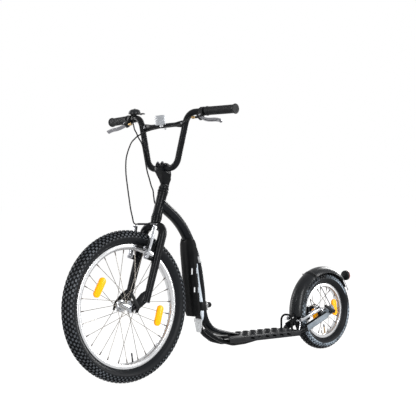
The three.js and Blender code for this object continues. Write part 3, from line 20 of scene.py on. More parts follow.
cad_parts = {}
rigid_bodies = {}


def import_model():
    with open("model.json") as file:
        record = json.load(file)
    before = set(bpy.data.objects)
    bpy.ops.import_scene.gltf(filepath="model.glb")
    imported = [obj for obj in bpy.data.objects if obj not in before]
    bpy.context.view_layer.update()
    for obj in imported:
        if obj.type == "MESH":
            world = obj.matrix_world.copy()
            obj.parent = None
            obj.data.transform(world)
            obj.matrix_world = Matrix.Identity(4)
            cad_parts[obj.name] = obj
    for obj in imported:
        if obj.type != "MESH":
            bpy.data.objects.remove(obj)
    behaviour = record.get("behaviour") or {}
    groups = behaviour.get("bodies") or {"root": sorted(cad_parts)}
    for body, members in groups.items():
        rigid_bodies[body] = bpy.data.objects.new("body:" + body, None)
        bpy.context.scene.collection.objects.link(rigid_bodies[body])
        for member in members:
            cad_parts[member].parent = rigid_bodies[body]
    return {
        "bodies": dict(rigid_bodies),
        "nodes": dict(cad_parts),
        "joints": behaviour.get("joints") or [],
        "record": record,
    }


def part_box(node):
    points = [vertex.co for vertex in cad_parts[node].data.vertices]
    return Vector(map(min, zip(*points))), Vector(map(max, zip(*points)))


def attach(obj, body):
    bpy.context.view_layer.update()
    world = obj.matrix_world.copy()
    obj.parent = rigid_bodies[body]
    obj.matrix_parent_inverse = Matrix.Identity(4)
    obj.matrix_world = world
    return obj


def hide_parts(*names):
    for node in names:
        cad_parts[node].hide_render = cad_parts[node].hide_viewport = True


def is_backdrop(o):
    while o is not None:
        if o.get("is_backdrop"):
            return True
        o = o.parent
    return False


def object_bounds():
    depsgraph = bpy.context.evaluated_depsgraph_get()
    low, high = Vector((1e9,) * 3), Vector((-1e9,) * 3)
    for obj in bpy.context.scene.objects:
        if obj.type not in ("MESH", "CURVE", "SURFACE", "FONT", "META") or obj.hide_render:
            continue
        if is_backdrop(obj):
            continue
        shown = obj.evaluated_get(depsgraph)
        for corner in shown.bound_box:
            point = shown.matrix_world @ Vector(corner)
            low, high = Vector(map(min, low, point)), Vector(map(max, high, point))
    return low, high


LOG = logging.getLogger("kick_bike")
Colour = tuple[float, float, float]
Point = Sequence[float]

# Common sizes, in metres, then millimetres and degrees

MM = 0.001
WHEELBASE = 985.0
REAR_SET = 541.5
FRONT_RADIUS, REAR_RADIUS = 256.3, 151.0
FRONT_LIP, REAR_LIP = 209.5, 108.0
HEAD_ANGLE = 20.0
FORK_RAKE = 36.0
FORK_LENGTH = 327.0
HEAD_LENGTH = 90.0
FRONT_PIVOT, FRONT_PIVOT_HALF, FRONT_PLANE = 174.8, 43.0, 2.4
STAY_DIP = 18.8
REAR_PIVOT, REAR_PIVOT_HALF, REAR_PLANE = 57.0, 40.0, 33.0
REAR_BOOT = 167.5
DECK_START, DECK_HEIGHT, DECK_RISE = 190.0, 97.0, 2.0
ADJUSTER = 27.5
BRACE_SHARE = 0.8
UP = (0, 0, 1)


# Shader maths


class Wire:
    """A number on a node board that Python's operators work on."""

    def __init__(self, board: "Board", socket: bpy.types.NodeSocket) -> None:
        """Keeps the board and the socket that gives the number."""
        self.board = board
        self.socket = socket

    def __add__(self, other: object) -> "Wire":
        """The sum."""
        return self.board.maths("ADD", self, other)

    __radd__ = __add__

    def __mul__(self, other: object) -> "Wire":
        """The product."""
        return self.board.maths("MULTIPLY", self, other)

    __rmul__ = __mul__

    def __sub__(self, other: object) -> "Wire":
        """The difference."""
        return self.board.maths("SUBTRACT", self, other)

    def __rsub__(self, other: object) -> "Wire":
        """The difference the other way round."""
        return self.board.maths("SUBTRACT", other, self)

    def __truediv__(self, other: object) -> "Wire":
        """The quotient."""
        return self.board.maths("DIVIDE", self, other)

    def __pow__(self, other: object) -> "Wire":
        """The power."""
        return self.board.maths("POWER", self, other)

    def size(self) -> "Wire":
        """The absolute value."""
        return self.board.maths("ABSOLUTE", self)

    def sine(self) -> "Wire":
        """The sine of the value in radians."""
        return self.board.maths("SINE", self)

    def rise(self, low: float, high: float) -> "Wire":
        """A smooth step.

        Args:
            low: Where the step starts at 0.
            high: Where it reaches 1.

        Returns:
            The step's height.
        """
        values = {0: self, 1: low, 2: high, 3: 0.0, 4: 1.0}
        node = self.board.node("ShaderNodeMapRange", {"interpolation_type": "SMOOTHSTEP"}, values)
        return Wire(self.board, node.outputs[0])

    def between(self, low: float, high: float, soft: float) -> "Wire":
        """1 between two values and 0 outside, over a soft edge."""
        return self.rise(low - soft, low + soft) * (1 - self.rise(high - soft, high + soft))


class Board:
    """The node board of one material or of the world."""

    def __init__(self, owner: bpy.types.Material | bpy.types.World) -> None:
        """Clears the owner's nodes.

        Args:
            owner: The material or the world.
        """
        self.owner = owner
        owner.use_nodes = True
        self.tree = owner.node_tree
        self.tree.nodes.clear()

    def node(self, kind: str, settings: dict | None = None, values: dict | None = None) -> bpy.types.Node:
        """Adds any node.

        Args:
            kind: The node's type.
            settings: Its properties.
            values: What its sockets get, by name or number: values, sockets or wires.

        Returns:
            The node.
        """
        made = self.tree.nodes.new(kind)
        for name, value in (settings or {}).items():
            setattr(made, name, value)
        for name, value in (values or {}).items():
            self.feed(made.inputs[name], value)
        return made

    def maths(self, operation: str, *values: object) -> Wire:
        """Adds one Math node.

        Args:
            operation: The Math node's operation.
            values: Its inputs in order, numbers or wires.

        Returns:
            The node's result.
        """
        node = self.node("ShaderNodeMath", {"operation": operation}, dict(enumerate(values)))
        return Wire(self, node.outputs[0])

    def feed(self, socket: bpy.types.NodeSocket, value: object) -> None:
        """Gives a socket a value or a link.

        Args:
            socket: The socket.
            value: A plain value, a socket or a wire.
        """
        if isinstance(value, Wire):
            value = value.socket
        if isinstance(value, bpy.types.NodeSocket):
            self.tree.links.new(value, socket)
        elif isinstance(value, tuple) and len(value) == 3 and socket.type == "RGBA":
            socket.default_value = (*value, 1)
        else:
            socket.default_value = value

    def place(self) -> bpy.types.NodeSocket:
        """The surface point in metres of the part's frame."""
        return self.node("ShaderNodeTexCoord").outputs["Object"]

    def axes(self) -> tuple[Wire, Wire, Wire]:
        """The surface point's three numbers."""
        node = self.node("ShaderNodeSeparateXYZ", values={0: self.place()})
        return tuple(Wire(self, output) for output in node.outputs)

    def noise(self, scale: float, detail: float = 3.0, stretch: Colour = (1, 1, 1)) -> Wire:
        """Smooth noise about 0.5.

        Args:
            scale: Its cells to the metre.
            detail: Its octaves.
            stretch: How much finer it is along each axis.

        Returns:
            The noise.
        """
        spot = self.node("ShaderNodeMapping", values={"Vector": self.place(), "Scale": Vector(stretch)})
        values = {"Vector": spot.outputs[0], "Scale": scale, "Detail": detail}
        return Wire(self, self.node("ShaderNodeTexNoise", values=values).outputs[0])

    def mix(self, share: object, low: object, high: object) -> bpy.types.NodeSocket:
        """A colour between two.

        Args:
            share: 0 for the first colour and 1 for the second.
            low: The first colour.
            high: The second colour.

        Returns:
            The mixed colour's socket.
        """
        node = self.node("ShaderNodeMix", {"data_type": "RGBA"}, {0: share, 6: low, 7: high})
        return node.outputs[2]

    def bump(self, height: Wire, strength: float, depth: float) -> bpy.types.NodeSocket:
        """A normal that follows a height.

        Args:
            height: The relief, from 0 to 1.
            strength: How much of it shows.
            depth: Its full height in metres.

        Returns:
            The normal's socket.
        """
        values = {"Height": height, "Strength": strength, "Distance": depth}
        return self.node("ShaderNodeBump", values=values).outputs[0]

    def ring_radius(self, centre: Point) -> Wire:
        """The distance from an axis along Y, in metres.

        Args:
            centre: A point of the axis.

        Returns:
            The distance.
        """
        x, _, z = self.axes()
        across = x - centre[0]
        up = z - centre[2]
        return (across * across + up * up) ** 0.5


def shaded(colour: Colour, share: float) -> Colour:
    """A colour made darker by a share, or lighter by a negative one."""
    return tuple(max(0.0, min(1.0, c * (1 - share))) for c in colour)


@dataclass(frozen=True)
class Finish:
    """A finish whose colour, gloss and grain vary finely over the surface."""

    name: str
    colour: Colour
    roughness: float
    metallic: float = 0.0
    coat: float = 0.0
    grain: float = 900.0
    shade: float = 0.25
    scuff: float = 0.1
    relief: float = 0.1
    depth: float = 0.0002
    stretch: Colour = (1, 1, 1)
    specular: float = 0.5

    def colouring(self, board: Board) -> object:
        """The base colour: broad patches and fine specks of shade.

        Args:
            board: The material's node board.

        Returns:
            The colour's socket.
        """
        broad = board.noise(self.grain / 45, 2)
        fine = board.noise(self.grain, 3, self.stretch)
        share = (broad * 0.6 + fine * 0.4).rise(0.3, 0.7)
        return board.mix(share, shaded(self.colour, self.shade), shaded(self.colour, -self.shade))

    def gloss(self, board: Board) -> object:
        """The roughness: smears a few centimetres wide."""
        smear = board.noise(28, 4)
        return (smear - 0.5) * (2 * self.scuff) + self.roughness

    def height(self, board: Board) -> Wire:
        """The relief's height."""
        return board.noise(self.grain, 4, self.stretch)

    def material(self) -> bpy.types.Material:
        """Makes the material, or gives the one made before.

        Returns:
            The material.
        """
        known = bpy.data.materials.get(self.name)
        if known:
            return known
        board = Board(bpy.data.materials.new(self.name))
        shader = board.node("ShaderNodeBsdfPrincipled", values={
            "Base Color": self.colouring(board),
            "Roughness": self.gloss(board),
            "Metallic": self.metallic,
            "Coat Weight": self.coat,
            "Coat Roughness": 0.12,
            "Specular IOR Level": self.specular,
            "Normal": board.bump(self.height(board), self.relief, self.depth),
        })
        board.node("ShaderNodeOutputMaterial", values={"Surface": shader.outputs[0]})
        return board.owner


@dataclass(frozen=True)
class Paint(Finish):
    """Smooth paint with a thin clear coat."""

    coat: float = 0.02
    shade: float = 0.3
    scuff: float = 0.04
    relief: float = 0.01
    specular: float = 0.07


@dataclass(frozen=True)
class Metal(Finish):
    """Bare metal."""

    metallic: float = 1.0
    shade: float = 0.2
    relief: float = 0.05


@dataclass(frozen=True)
class TyreRubber(Finish):
    """Rubber with moulded rings on the sidewall and a dusty tread."""

    relief: float = 0.15
    depth: float = 0.0003
    specular: float = 0.1
    centre: Point = (0, 0, 0)
    rim: float = 0.2
    crown: float = 0.25
    # Radii between which the casing gets a painted highlight.
    highlight_band: tuple[float, float] = (0.0, 0.0)

    def colouring(self, board: Board) -> object:
        """Black tread, a bluer sidewall and a pale painted highlight between the side blocks.

        Args:
            board: The material's node board.

        Returns:
            The colour's socket.
        """
        radius = board.ring_radius(self.centre)
        middle = (self.rim + self.crown) / 2
        side = 1 - radius.rise(middle - 0.006, middle + 0.008)
        dust = board.noise(260, 4).rise(0.45, 0.75) * 0.35
        wall = board.mix(dust, self.colour, (0.01, 0.011, 0.012))
        base = board.mix(side * 0.8, wall, (0.006, 0.007, 0.0085))
        low, high = self.highlight_band
        # A pale blue-grey band between two radii: a painted highlight on the casing between the side blocks.
        painted_highlight = radius.between(low, high, 0.0012) * board.noise(16, 2).rise(0.36, 0.6)
        return board.mix(painted_highlight * 0.9, base, (0.3, 0.35, 0.4))

    def height(self, board: Board) -> Wire:
        """Fine moulded rings round the sidewall."""
        radius = board.ring_radius(self.centre)
        return (radius * 2600).sine() * 0.35 + board.noise(self.grain, 4)


@dataclass(frozen=True)
class RimAlloy(Metal):
    """Bright alloy with turned lines round its braking faces."""

    relief: float = 0.06
    depth: float = 0.0001
    centre: Point = (0, 0, 0)
    lip: float = 0.2

    def colouring(self, board: Board) -> object:
        """Alloy with a thin dark wear line at the foot of the braking face.

        Args:
            board: The material's node board.

        Returns:
            The colour's socket.
        """
        radius = board.ring_radius(self.centre)
        line = radius.between(self.lip - 0.0128, self.lip - 0.0118, 0.0002)
        grey = board.noise(140, 3).rise(0.3, 0.8) * 0.3
        alloy = board.mix(grey, self.colour, shaded(self.colour, 0.3))
        return board.mix(line * 0.75, alloy, (0.12, 0.12, 0.13))

    def height(self, board: Board) -> Wire:
        """The turned lines."""
        return (board.ring_radius(self.centre) * 9000).sine() * 0.5 + 0.5


@dataclass(frozen=True)
class Reflector(Finish):
    """Moulded reflector plastic with a grid of small prisms."""

    pitch: float = 0.0032

    def prisms(self, board: Board) -> Wire:
        """A grid of ridges that run both ways over the face.

        Args:
            board: The material's node board.

        Returns:
            The ridges' height, from 0 to 1.
        """
        x, y, z = board.axes()
        turns = 2 * math.pi / self.pitch
        first = ((x + z * 0.5 + y * 0.3) * turns).sine()
        second = ((z - x * 0.5 + y * 0.9) * turns).sine()
        return (first * second) * 0.5 + 0.5

    def colouring(self, board: Board) -> object:
        """Painted light and shade on the facets: lighter on the ridges, darker in the hollows."""
        # Painted shade in the prisms' hollows and painted light on their ridges.
        deep, bright = shaded(self.colour, self.shade), shaded(self.colour, -self.shade / 2)
        return board.mix(self.prisms(board), deep, bright)

    def height(self, board: Board) -> Wire:
        """The prisms."""
        return self.prisms(board)


@dataclass(frozen=True)
class TubePaint(Paint):
    """Black tube paint with one pale stripe down the left side, partly a plain decal and partly a painted
    highlight.
    """

    def colouring(self, board: Board) -> object:
        """Black, and silver-blue inside the stripe, which is a plain decal and a painted highlight in one.

        Args:
            board: The material's node board.

        Returns:
            The colour's socket.
        """
        x, y, z = board.axes()
        base = super().colouring(board)
        line = (z - 0.3) * 0.1 + 0.1265
        narrow = 0.0032 + (0.40 - z).rise(0.0, 0.16) * 0.0052
        off = (x - line) / narrow
        inside = 1 - off.size().rise(0.85, 1.0)
        # The stripe's pale colour stands partly for a decal and partly for a painted highlight on the tube's
        # side.
        stripe = inside * z.between(0.172, 0.43, 0.004) * y.rise(0.006, 0.009)
        return board.mix(stripe, base, (0.62, 0.68, 0.74))


@dataclass(frozen=True)
class MarkedSheet(Finish):
    """Black sheet with two short pale marks on its left flank: painted light where white shows through gaps
    beside the tube.
    """

    def colouring(self, board: Board) -> object:
        """Black, and pale inside the two marks of painted light.

        Args:
            board: The material's node board.

        Returns:
            The colour's socket.
        """
        x, y, z = board.axes()
        upper = z.between(0.345, 0.366, 0.002) * x.between(0.1655, 0.1683, 0.0008)
        lower = z.between(0.282, 0.299, 0.002) * x.between(0.1585, 0.1612, 0.0008)
        # Two pale patches: painted light for the white seen through gaps beside the tube.
        gap_light = (upper + lower) * y.rise(0.022, 0.025)
        return board.mix(gap_light, super().colouring(board), (0.6, 0.61, 0.62))


@dataclass(frozen=True)
class Ribbed(Finish):
    """Rubber with fine moulded ribs across the part's Y axis."""

    pitch: float = 0.003

    def height(self, board: Board) -> Wire:
        """The ribs and the rubber's grain."""
        _, y, _ = board.axes()
        return (y * (2 * math.pi / self.pitch)).sine() * 0.5 + board.noise(self.grain, 3) * 0.4


FRONT_CENTRE = ((WHEELBASE - REAR_SET) * MM, 0.0, FRONT_RADIUS * MM)
REAR_CENTRE = (-REAR_SET * MM, 0.0, REAR_RADIUS * MM)
PITCH_BLACK = (0.005, 0.0054, 0.006)
TYRE_BLACK = (0.0035, 0.0038, 0.0045)
RIM_SILVER = (0.58, 0.585, 0.595)


class Look(Enum):
    """The finishes of this bike."""

    PAINT = Paint("black_tube_paint", (0.004, 0.0043, 0.005), 0.2)
    STRIPED = TubePaint("stripe_and_highlight_tube_paint", (0.0042, 0.0048, 0.006), 0.22, specular=0.08)
    GLOSS = Paint(
        "mudguard_gloss_plastic", (0.005, 0.0058, 0.007), 0.28,
        coat=0.03, shade=0.25, scuff=0.03, specular=0.18,
    )
    # Silver-blue on the stays' outer flanks: a painted highlight of a lamp on their flat faces.
    FLANK_HIGHLIGHT = Finish(
        "flank_painted_highlight", (0.13, 0.155, 0.18), 0.24, coat=0.3, shade=0.3, relief=0.05, specular=0.4,
    )
    DECK = Finish(
        "deck_powder_coat", (0.006, 0.0066, 0.0078), 0.3,
        coat=0.03, grain=1600, shade=0.4, relief=0.15, specular=0.15,
    )
    SATIN = Finish(
        "satin_black_plastic", PITCH_BLACK, 0.4, grain=2400, relief=0.15, depth=0.0001, specular=0.12,
    )
    SHEET = MarkedSheet(
        "guard_sheet_plastic", (0.003, 0.0033, 0.0036), 0.5, grain=1100, shade=0.5, relief=0.4, specular=0.06,
    )
    RUBBER = Finish("grip_rubber", PITCH_BLACK, 0.6, grain=2600, relief=0.25, depth=0.00015, specular=0.1)
    GRIP = Ribbed(
        "ribbed_grip_rubber", (0.006, 0.0064, 0.0072), 0.5,
        grain=2200, relief=0.4, depth=0.0004, specular=0.14,
    )
    SIDE_BLOCK = Finish(
        "side_block_rubber", (0.008, 0.009, 0.011), 0.5, grain=700, shade=0.5, relief=0.2, specular=0.2,
    )
    # Pale blue-grey knob tops: a painted highlight on the front tyre's blocks.
    TREAD_TOP_HIGHLIGHT = Finish(
        "tread_top_painted_highlight", (0.034, 0.039, 0.046), 0.5, grain=700, shade=0.6, relief=0.2, specular=0.3,
    )
    SHEATH = Finish(
        "cable_sheath", (0.005, 0.005, 0.0055), 0.4, grain=1800, relief=0.08, depth=0.0001, specular=0.14,
    )
    SMOKE = Finish("smoky_plastic", (0.17, 0.175, 0.18), 0.3, coat=0.2, shade=0.3)
    PALE = Finish("pale_bracket_plastic", (0.6, 0.61, 0.63), 0.4, grain=1500, shade=0.06)
    FLAP = Finish("translucent_flap", (0.42, 0.43, 0.44), 0.35, grain=200, shade=0.7, relief=0.6, depth=0.002)
    # White along the mudguard tail's edges: a painted highlight.
    TAIL_HIGHLIGHT = Finish("tail_edge_painted_highlight", (0.78, 0.79, 0.8), 0.35, shade=0.05, relief=0.05)
    LEVER = Metal("lever_alloy", (0.2, 0.2, 0.215), 0.2, shade=0.15, grain=700)
    ALLOY = Metal("polished_alloy", (0.4, 0.41, 0.43), 0.22, shade=0.14, grain=700, relief=0.08)
    STEEL = Metal("bright_steel", (0.36, 0.36, 0.38), 0.26, shade=0.15, grain=1500, relief=0.06)
    DARK = Metal("dark_steel", (0.04, 0.04, 0.045), 0.34, shade=0.25, grain=1200, relief=0.1)
    SPOKE = Metal("spoke_steel", (0.2, 0.184, 0.163), 0.35, grain=800)
    NIPPLE = Metal("nipple_brass", (0.07, 0.055, 0.045), 0.4, grain=1500)
    BRASS = Metal("brass", (0.42, 0.28, 0.12), 0.36, grain=1300, relief=0.06)
    AMBER = Reflector(
        "amber_reflector", (0.95, 0.36, 0.0), 0.25, coat=0.05, relief=0.2, depth=0.0003, specular=0.15,
    )
    CLEAR = Reflector(
        "clear_reflector", (0.2, 0.21, 0.225), 0.2, coat=0.3, shade=0.1, relief=0.12, depth=0.0003,
    )
    RED = Reflector("red_reflector", (0.5, 0.01, 0.012), 0.2, coat=0.4, relief=0.5, depth=0.0005)
    FRONT_TYRE = TyreRubber(
        "front_tyre_rubber", TYRE_BLACK, 0.45,
        centre=FRONT_CENTRE, rim=FRONT_LIP * MM, crown=FRONT_RADIUS * MM,
    )
    # The rear tyre has a painted highlight band between its side blocks.
    REAR_TYRE = TyreRubber(
        "rear_tyre_rubber", TYRE_BLACK, 0.45,
        centre=REAR_CENTRE, rim=REAR_LIP * MM, crown=REAR_RADIUS * MM, highlight_band=(0.1275, 0.141),
    )
    FRONT_RIM = RimAlloy("front_rim_alloy", RIM_SILVER, 0.28, centre=FRONT_CENTRE, lip=FRONT_LIP * MM)
    REAR_RIM = RimAlloy("rear_rim_alloy", RIM_SILVER, 0.28, centre=REAR_CENTRE, lip=REAR_LIP * MM)

    def material(self) -> bpy.types.Material:
        """The finish's material."""
        return self.value.material()


# Frames and routes


def tilt(degrees: float) -> Matrix:
    """A turn about Y."""
    return Matrix.Rotation(math.radians(degrees), 4, "Y")


def shift(x: float, y: float, z: float) -> Matrix:
    """A move in millimetres."""
    return Matrix.Translation((x, y, z))


def basis(across: Point, up: Point, origin: Point = (0, 0, 0)) -> Matrix:
    """A frame from its X and Y directions and its origin.

    Args:
        across: The frame's X direction.
        up: Its Y direction.
        origin: Its origin.

    Returns:
        The frame.
    """
    out = Vector(across).cross(Vector(up))
    turned = Matrix((across, up, out)).transposed().to_4x4()
    turned.translation = origin
    return turned


def ring(count: int, radius: float) -> list[tuple[float, float]]:
    """Points evenly round a circle."""
    turns = [2 * math.pi * k / count for k in range(count)]
    return [(radius * math.cos(a), radius * math.sin(a)) for a in turns]


def wheel_point(radius: float, degrees: float, y: float) -> Vector:
    """A point about a wheel's axle, at an angle up from straight ahead."""
    angle = math.radians(degrees)
    return Vector((radius * math.cos(angle), y, radius * math.sin(angle)))


SIN, COS = math.sin(math.radians(HEAD_ANGLE)), math.cos(math.radians(HEAD_ANGLE))
HEAD_FOOT = Vector((
    WHEELBASE - FORK_RAKE * COS - FORK_LENGTH * SIN, 0, FRONT_RADIUS - FORK_RAKE * SIN + FORK_LENGTH * COS,
))
GROUND = Matrix.Scale(MM, 4) @ shift(-REAR_SET, 0, 0)
STEERING = GROUND @ Matrix.Translation(HEAD_FOOT) @ tilt(-HEAD_ANGLE)
FRONT_BRAKE = STEERING @ shift(FORK_RAKE, 0, -FORK_LENGTH)
FRONT_WHEEL = FRONT_BRAKE @ tilt(HEAD_ANGLE)
REAR_WHEEL = GROUND @ shift(0, 0, REAR_RADIUS)
STAY = REAR_WHEEL @ tilt(STAY_DIP)
REAR_BRAKE = STAY @ Matrix(((0, 0, 1, 0), (0, -1, 0, 0), (1, 0, 0, 0), (0, 0, 0, 1)))
DECK = GROUND @ shift(DECK_START, 0, DECK_HEIGHT) @ tilt(-DECK_RISE)
MIRROR = Matrix.Diagonal((1, -1, 1, 1))


def grounded(frame: Matrix, x: float, y: float, z: float) -> Vector:
    """A place in a frame, in the ground frame's millimetres."""
    return (GROUND.inverted() @ frame) @ Vector((x, y, z))


def rounded(corners: Sequence[Point], bend: float, step: float = 7.0) -> list[Vector]:
    """Rounds the corners of a route.

    Args:
        corners: The route's corners.
        bend: The radius of its bends.
        step: The turn of each short chord, in degrees.

    Returns:
        The points of the rounded route.
    """
    corners = [Vector(c) for c in corners]
    points = [corners[0]]
    for before, corner, after in zip(corners, corners[1:], corners[2:]):
        back, ahead = before - corner, after - corner
        room = 0.48 * min(back.length, ahead.length)
        back.normalize()
        ahead.normalize()
        angle = math.pi - back.angle(ahead)
        if angle < math.radians(1):
            points.append(corner)
            continue
        reach = min(room, bend * math.tan(angle / 2))
        radius = reach / math.tan(angle / 2)
        centre = corner + (back + ahead).normalized() * (radius / math.cos(angle / 2))
        spoke = corner + back * reach - centre
        axis = spoke.cross(corner + ahead * reach - centre).normalized()
        steps = max(2, math.ceil(math.degrees(angle) / step))
        points += [Matrix.Rotation(angle * k / steps, 4, axis) @ spoke + centre for k in range(steps + 1)]
    points.append(corners[-1])
    return points


def smoothed(stations: Sequence[Sequence[float]], steps: int) -> list[list[float]]:
    """Rows of numbers on a smooth curve through given rows.

    Args:
        stations: The rows that it passes.
        steps: How many it makes for each gap.

    Returns:
        All the rows.
    """
    rows = []
    count = len(stations)
    for i in range(count - 1):
        a, b = stations[max(0, i - 1)], stations[i]
        c, d = stations[i + 1], stations[min(count - 1, i + 2)]
        for k in range(steps):
            t = k / steps
            rows.append([
                q + 0.5 * t * (r - p + t * (2 * p - 5 * q + 4 * r - s + t * (3 * (q - r) - p + s)))
                for p, q, r, s in zip(a, b, c, d)
            ])
    rows.append(list(stations[-1]))
    return rows


def frames_along(points: Sequence[Vector], side: Vector | None = None) -> list[Matrix]:
    """Frames whose Z runs along a route.

    Args:
        points: The route.
        side: A direction that every frame's X keeps to, or None to carry it along without a twist.

    Returns:
        One frame at each point.
    """
    frames = []
    across = side
    for i, point in enumerate(points):
        before = points[max(0, i - 1)]
        after = points[min(len(points) - 1, i + 1)]
        ahead = ((point - before).normalized() + (after - point).normalized()).normalized()
        if across is None:
            across = ahead.orthogonal()
        up = ahead.cross(across if side is None else side).normalized()
        across = up.cross(ahead).normalized()
        frames.append(basis(across, up, point))
    return frames


# Forms


def flipped(profile: Sequence[tuple[float, float]]) -> list[tuple[float, float]]:
    """A profile's mirror image below height zero, in the opposite order."""
    return [(r, -h) for r, h in profile[::-1]]


def settled(
    name: str, data: bpy.types.ID, looks: Sequence[Look], body: str, node: str, slot: str,
) -> bpy.types.Object:
    """Makes a piece of a mesh or a curve.

    Args:
        name: The piece's name.
        data: The mesh or curve.
        looks: The finishes, in the order of the material numbers.
        body: The body that the piece rides on.
        node: The CAD node that it stands for, or nothing.
        slot: The record's material slot; not used.

    Returns:
        The piece.
    """
    for look in looks:
        data.materials.append(look.material())
    piece = bpy.data.objects.new(name, data)
    bpy.context.scene.collection.objects.link(piece)
    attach(piece, body)
    if node:
        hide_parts(node)
    LOG.info("%s rides on %s", name, body)
    return piece


class Form:
    """A mesh that is being made, in millimetres of one frame."""

    def __init__(self) -> None:
        """Starts an empty mesh."""
        self.mesh = bmesh.new()

    def finish_faces(self, faces: Iterable[bmesh.types.BMFace], look: int) -> None:
        """Gives faces a material number."""
        for face in faces:
            face.material_index = look

    def bevelled(self, edges: Sequence[bmesh.types.BMEdge], width: float) -> list[bmesh.types.BMFace]:
        """Rounds edges in two steps.

        Args:
            edges: The edges.
            width: The width of the bevel.

        Returns:
            The new faces.
        """
        return bmesh.ops.bevel(
            self.mesh, geom=edges, offset=width, segments=2, profile=0.5, affect="EDGES", material=-1,
            clamp_overlap=True,
        )["faces"]

    def turned(
        self, profile: Sequence[tuple[float, float]], steps: int = 48, look: int = 0,
        at: Point = (0, 0, 0), axis: Point = (0, 1, 0),
    ) -> "Form":
        """Spins a profile of (radius, height) pairs.

        Args:
            profile: The profile's corners; it closes on itself or on the axis.
            steps: The turn's steps.
            look: The material number.
            at: The foot of the axis.
            axis: Its direction.

        Returns:
            This form.
        """
        mesh = self.mesh
        old = set(mesh.faces)
        verts = [mesh.verts.new((r, 0, h)) for r, h in profile]
        edges = [mesh.edges.new(pair) for pair in zip(verts, verts[1:])]
        if profile[0][0] > 0 or profile[-1][0] > 0:
            edges.append(mesh.edges.new((verts[-1], verts[0])))
        bmesh.ops.spin(
            mesh, geom=verts + edges, cent=(0, 0, 0), axis=UP, dvec=(0, 0, 0),
            angle=2 * math.pi, steps=steps, use_merge=True, use_duplicate=False,
        )
        faces = [f for f in mesh.faces if f not in old]
        made = list({v for f in faces for v in f.verts})
        bmesh.ops.remove_doubles(mesh, verts=made, dist=1e-4)
        faces = [f for f in mesh.faces if f not in old]
        made = list({v for f in faces for v in f.verts})
        turn = Vector(UP).rotation_difference(Vector(axis)).to_matrix().to_4x4()
        bmesh.ops.transform(mesh, matrix=shift(*at) @ turn, verts=made)
        self.finish_faces(faces, look)
        return self

    def swept(
        self, points: Sequence[Point], radius: float | Sequence[float], sides: int = 20, look: int = 0,
        side: Vector | None = None, flat: float | Sequence[float] = 1.0,
    ) -> "Form":
        """Draws a round or oval section along a route.

        Args:
            points: The route.
            radius: The section's radius, or one for each point.
            sides: The section's sides.
            look: The material number.
            side: A direction that the section's X keeps to.
            flat: The height of the section as a share of its width, or one for each point.

        Returns:
            This form.
        """
        mesh = self.mesh
        route = [Vector(p) for p in points]
        radii = [radius] * len(route) if isinstance(radius, (int, float)) else list(radius)
        flats = [flat] * len(route) if isinstance(flat, (int, float)) else list(flat)
        stages = [
            frame @ Matrix.Diagonal((r, r * f, 1, 1))
            for frame, r, f in zip(frames_along(route, side), radii, flats)
        ]
        made = bmesh.ops.create_circle(mesh, cap_ends=True, segments=sides, radius=1, matrix=stages[0])
        ring = made["verts"]
        edges = list({e for v in ring for e in v.link_edges})
        faces = list({f for v in ring for f in v.link_faces})
        for before, after in zip(stages, stages[1:]):
            made = bmesh.ops.extrude_edge_only(mesh, edges=edges)["geom"]
            verts = [g for g in made if isinstance(g, bmesh.types.BMVert)]
            edges = [g for g in made if isinstance(g, bmesh.types.BMEdge)]
            edges = [e for e in edges if all(v in verts for v in e.verts)]
            faces += [g for g in made if isinstance(g, bmesh.types.BMFace)]
            bmesh.ops.transform(mesh, matrix=after @ before.inverted(), verts=verts)
        faces += bmesh.ops.contextual_create(mesh, geom=edges)["faces"]
        self.finish_faces(faces, look)
        return self

    def lofted(self, rings: Sequence[Sequence[Point]], look: int = 0, caps: bool = True) -> "Form":
        """Draws a skin through rings of as many corners each.

        Args:
            rings: The rings' corners, in order.
            look: The material number.
            caps: Whether the ends are closed.

        Returns:
            This form.
        """
        mesh = self.mesh
        row = [mesh.verts.new(p) for p in rings[0]]
        faces = [mesh.faces.new(row)] if caps else []
        for ring in rings[1:]:
            edges = [mesh.edges.get(pair) or mesh.edges.new(pair) for pair in zip(row, row[1:] + row[:1])]
            made = bmesh.ops.extrude_edge_only(mesh, edges=edges)["geom"]
            faces += [g for g in made if isinstance(g, bmesh.types.BMFace)]
            fresh = {g for g in made if isinstance(g, bmesh.types.BMVert)}
            row = [next(e.other_vert(v) for e in v.link_edges if e.other_vert(v) in fresh) for v in row]
            for vert, place in zip(row, ring):
                vert.co = place
        if caps:
            faces.append(mesh.faces.new(row[::-1]))
        self.finish_faces(faces, look)
        return self

    def plate(
        self, outline: Sequence[tuple[float, float]], half: float, frame: Matrix, look: int = 0,
        bevel: float = 0.0,
    ) -> "Form":
        """Extrudes an outline both ways from its plane.

        Args:
            outline: The outline's corners.
            half: Half the thickness.
            frame: The frame whose X and Y hold the outline.
            look: The material number.
            bevel: The width of its edges' bevel.

        Returns:
            This form.
        """
        mesh = self.mesh
        verts = [mesh.verts.new((x, y, -half)) for x, y in outline]
        face = mesh.faces.new(verts)
        made = bmesh.ops.extrude_face_region(mesh, geom=[face])["geom"]
        top = [g for g in made if isinstance(g, bmesh.types.BMVert)]
        bmesh.ops.translate(mesh, verts=top, vec=(0, 0, 2 * half))
        both = verts + top
        faces = list({f for v in both for f in v.link_faces})
        if bevel:
            ends = [f for f in faces if len({v.co.z for v in f.verts}) == 1]
            edges = list({e for f in ends for e in f.edges})
            made = self.bevelled(edges, bevel)
            faces = list({f for f in faces if f.is_valid} | set(made))
            both = list({v for f in faces for v in f.verts})
        bmesh.ops.transform(mesh, matrix=frame, verts=both)
        self.finish_faces(faces, look)
        return self

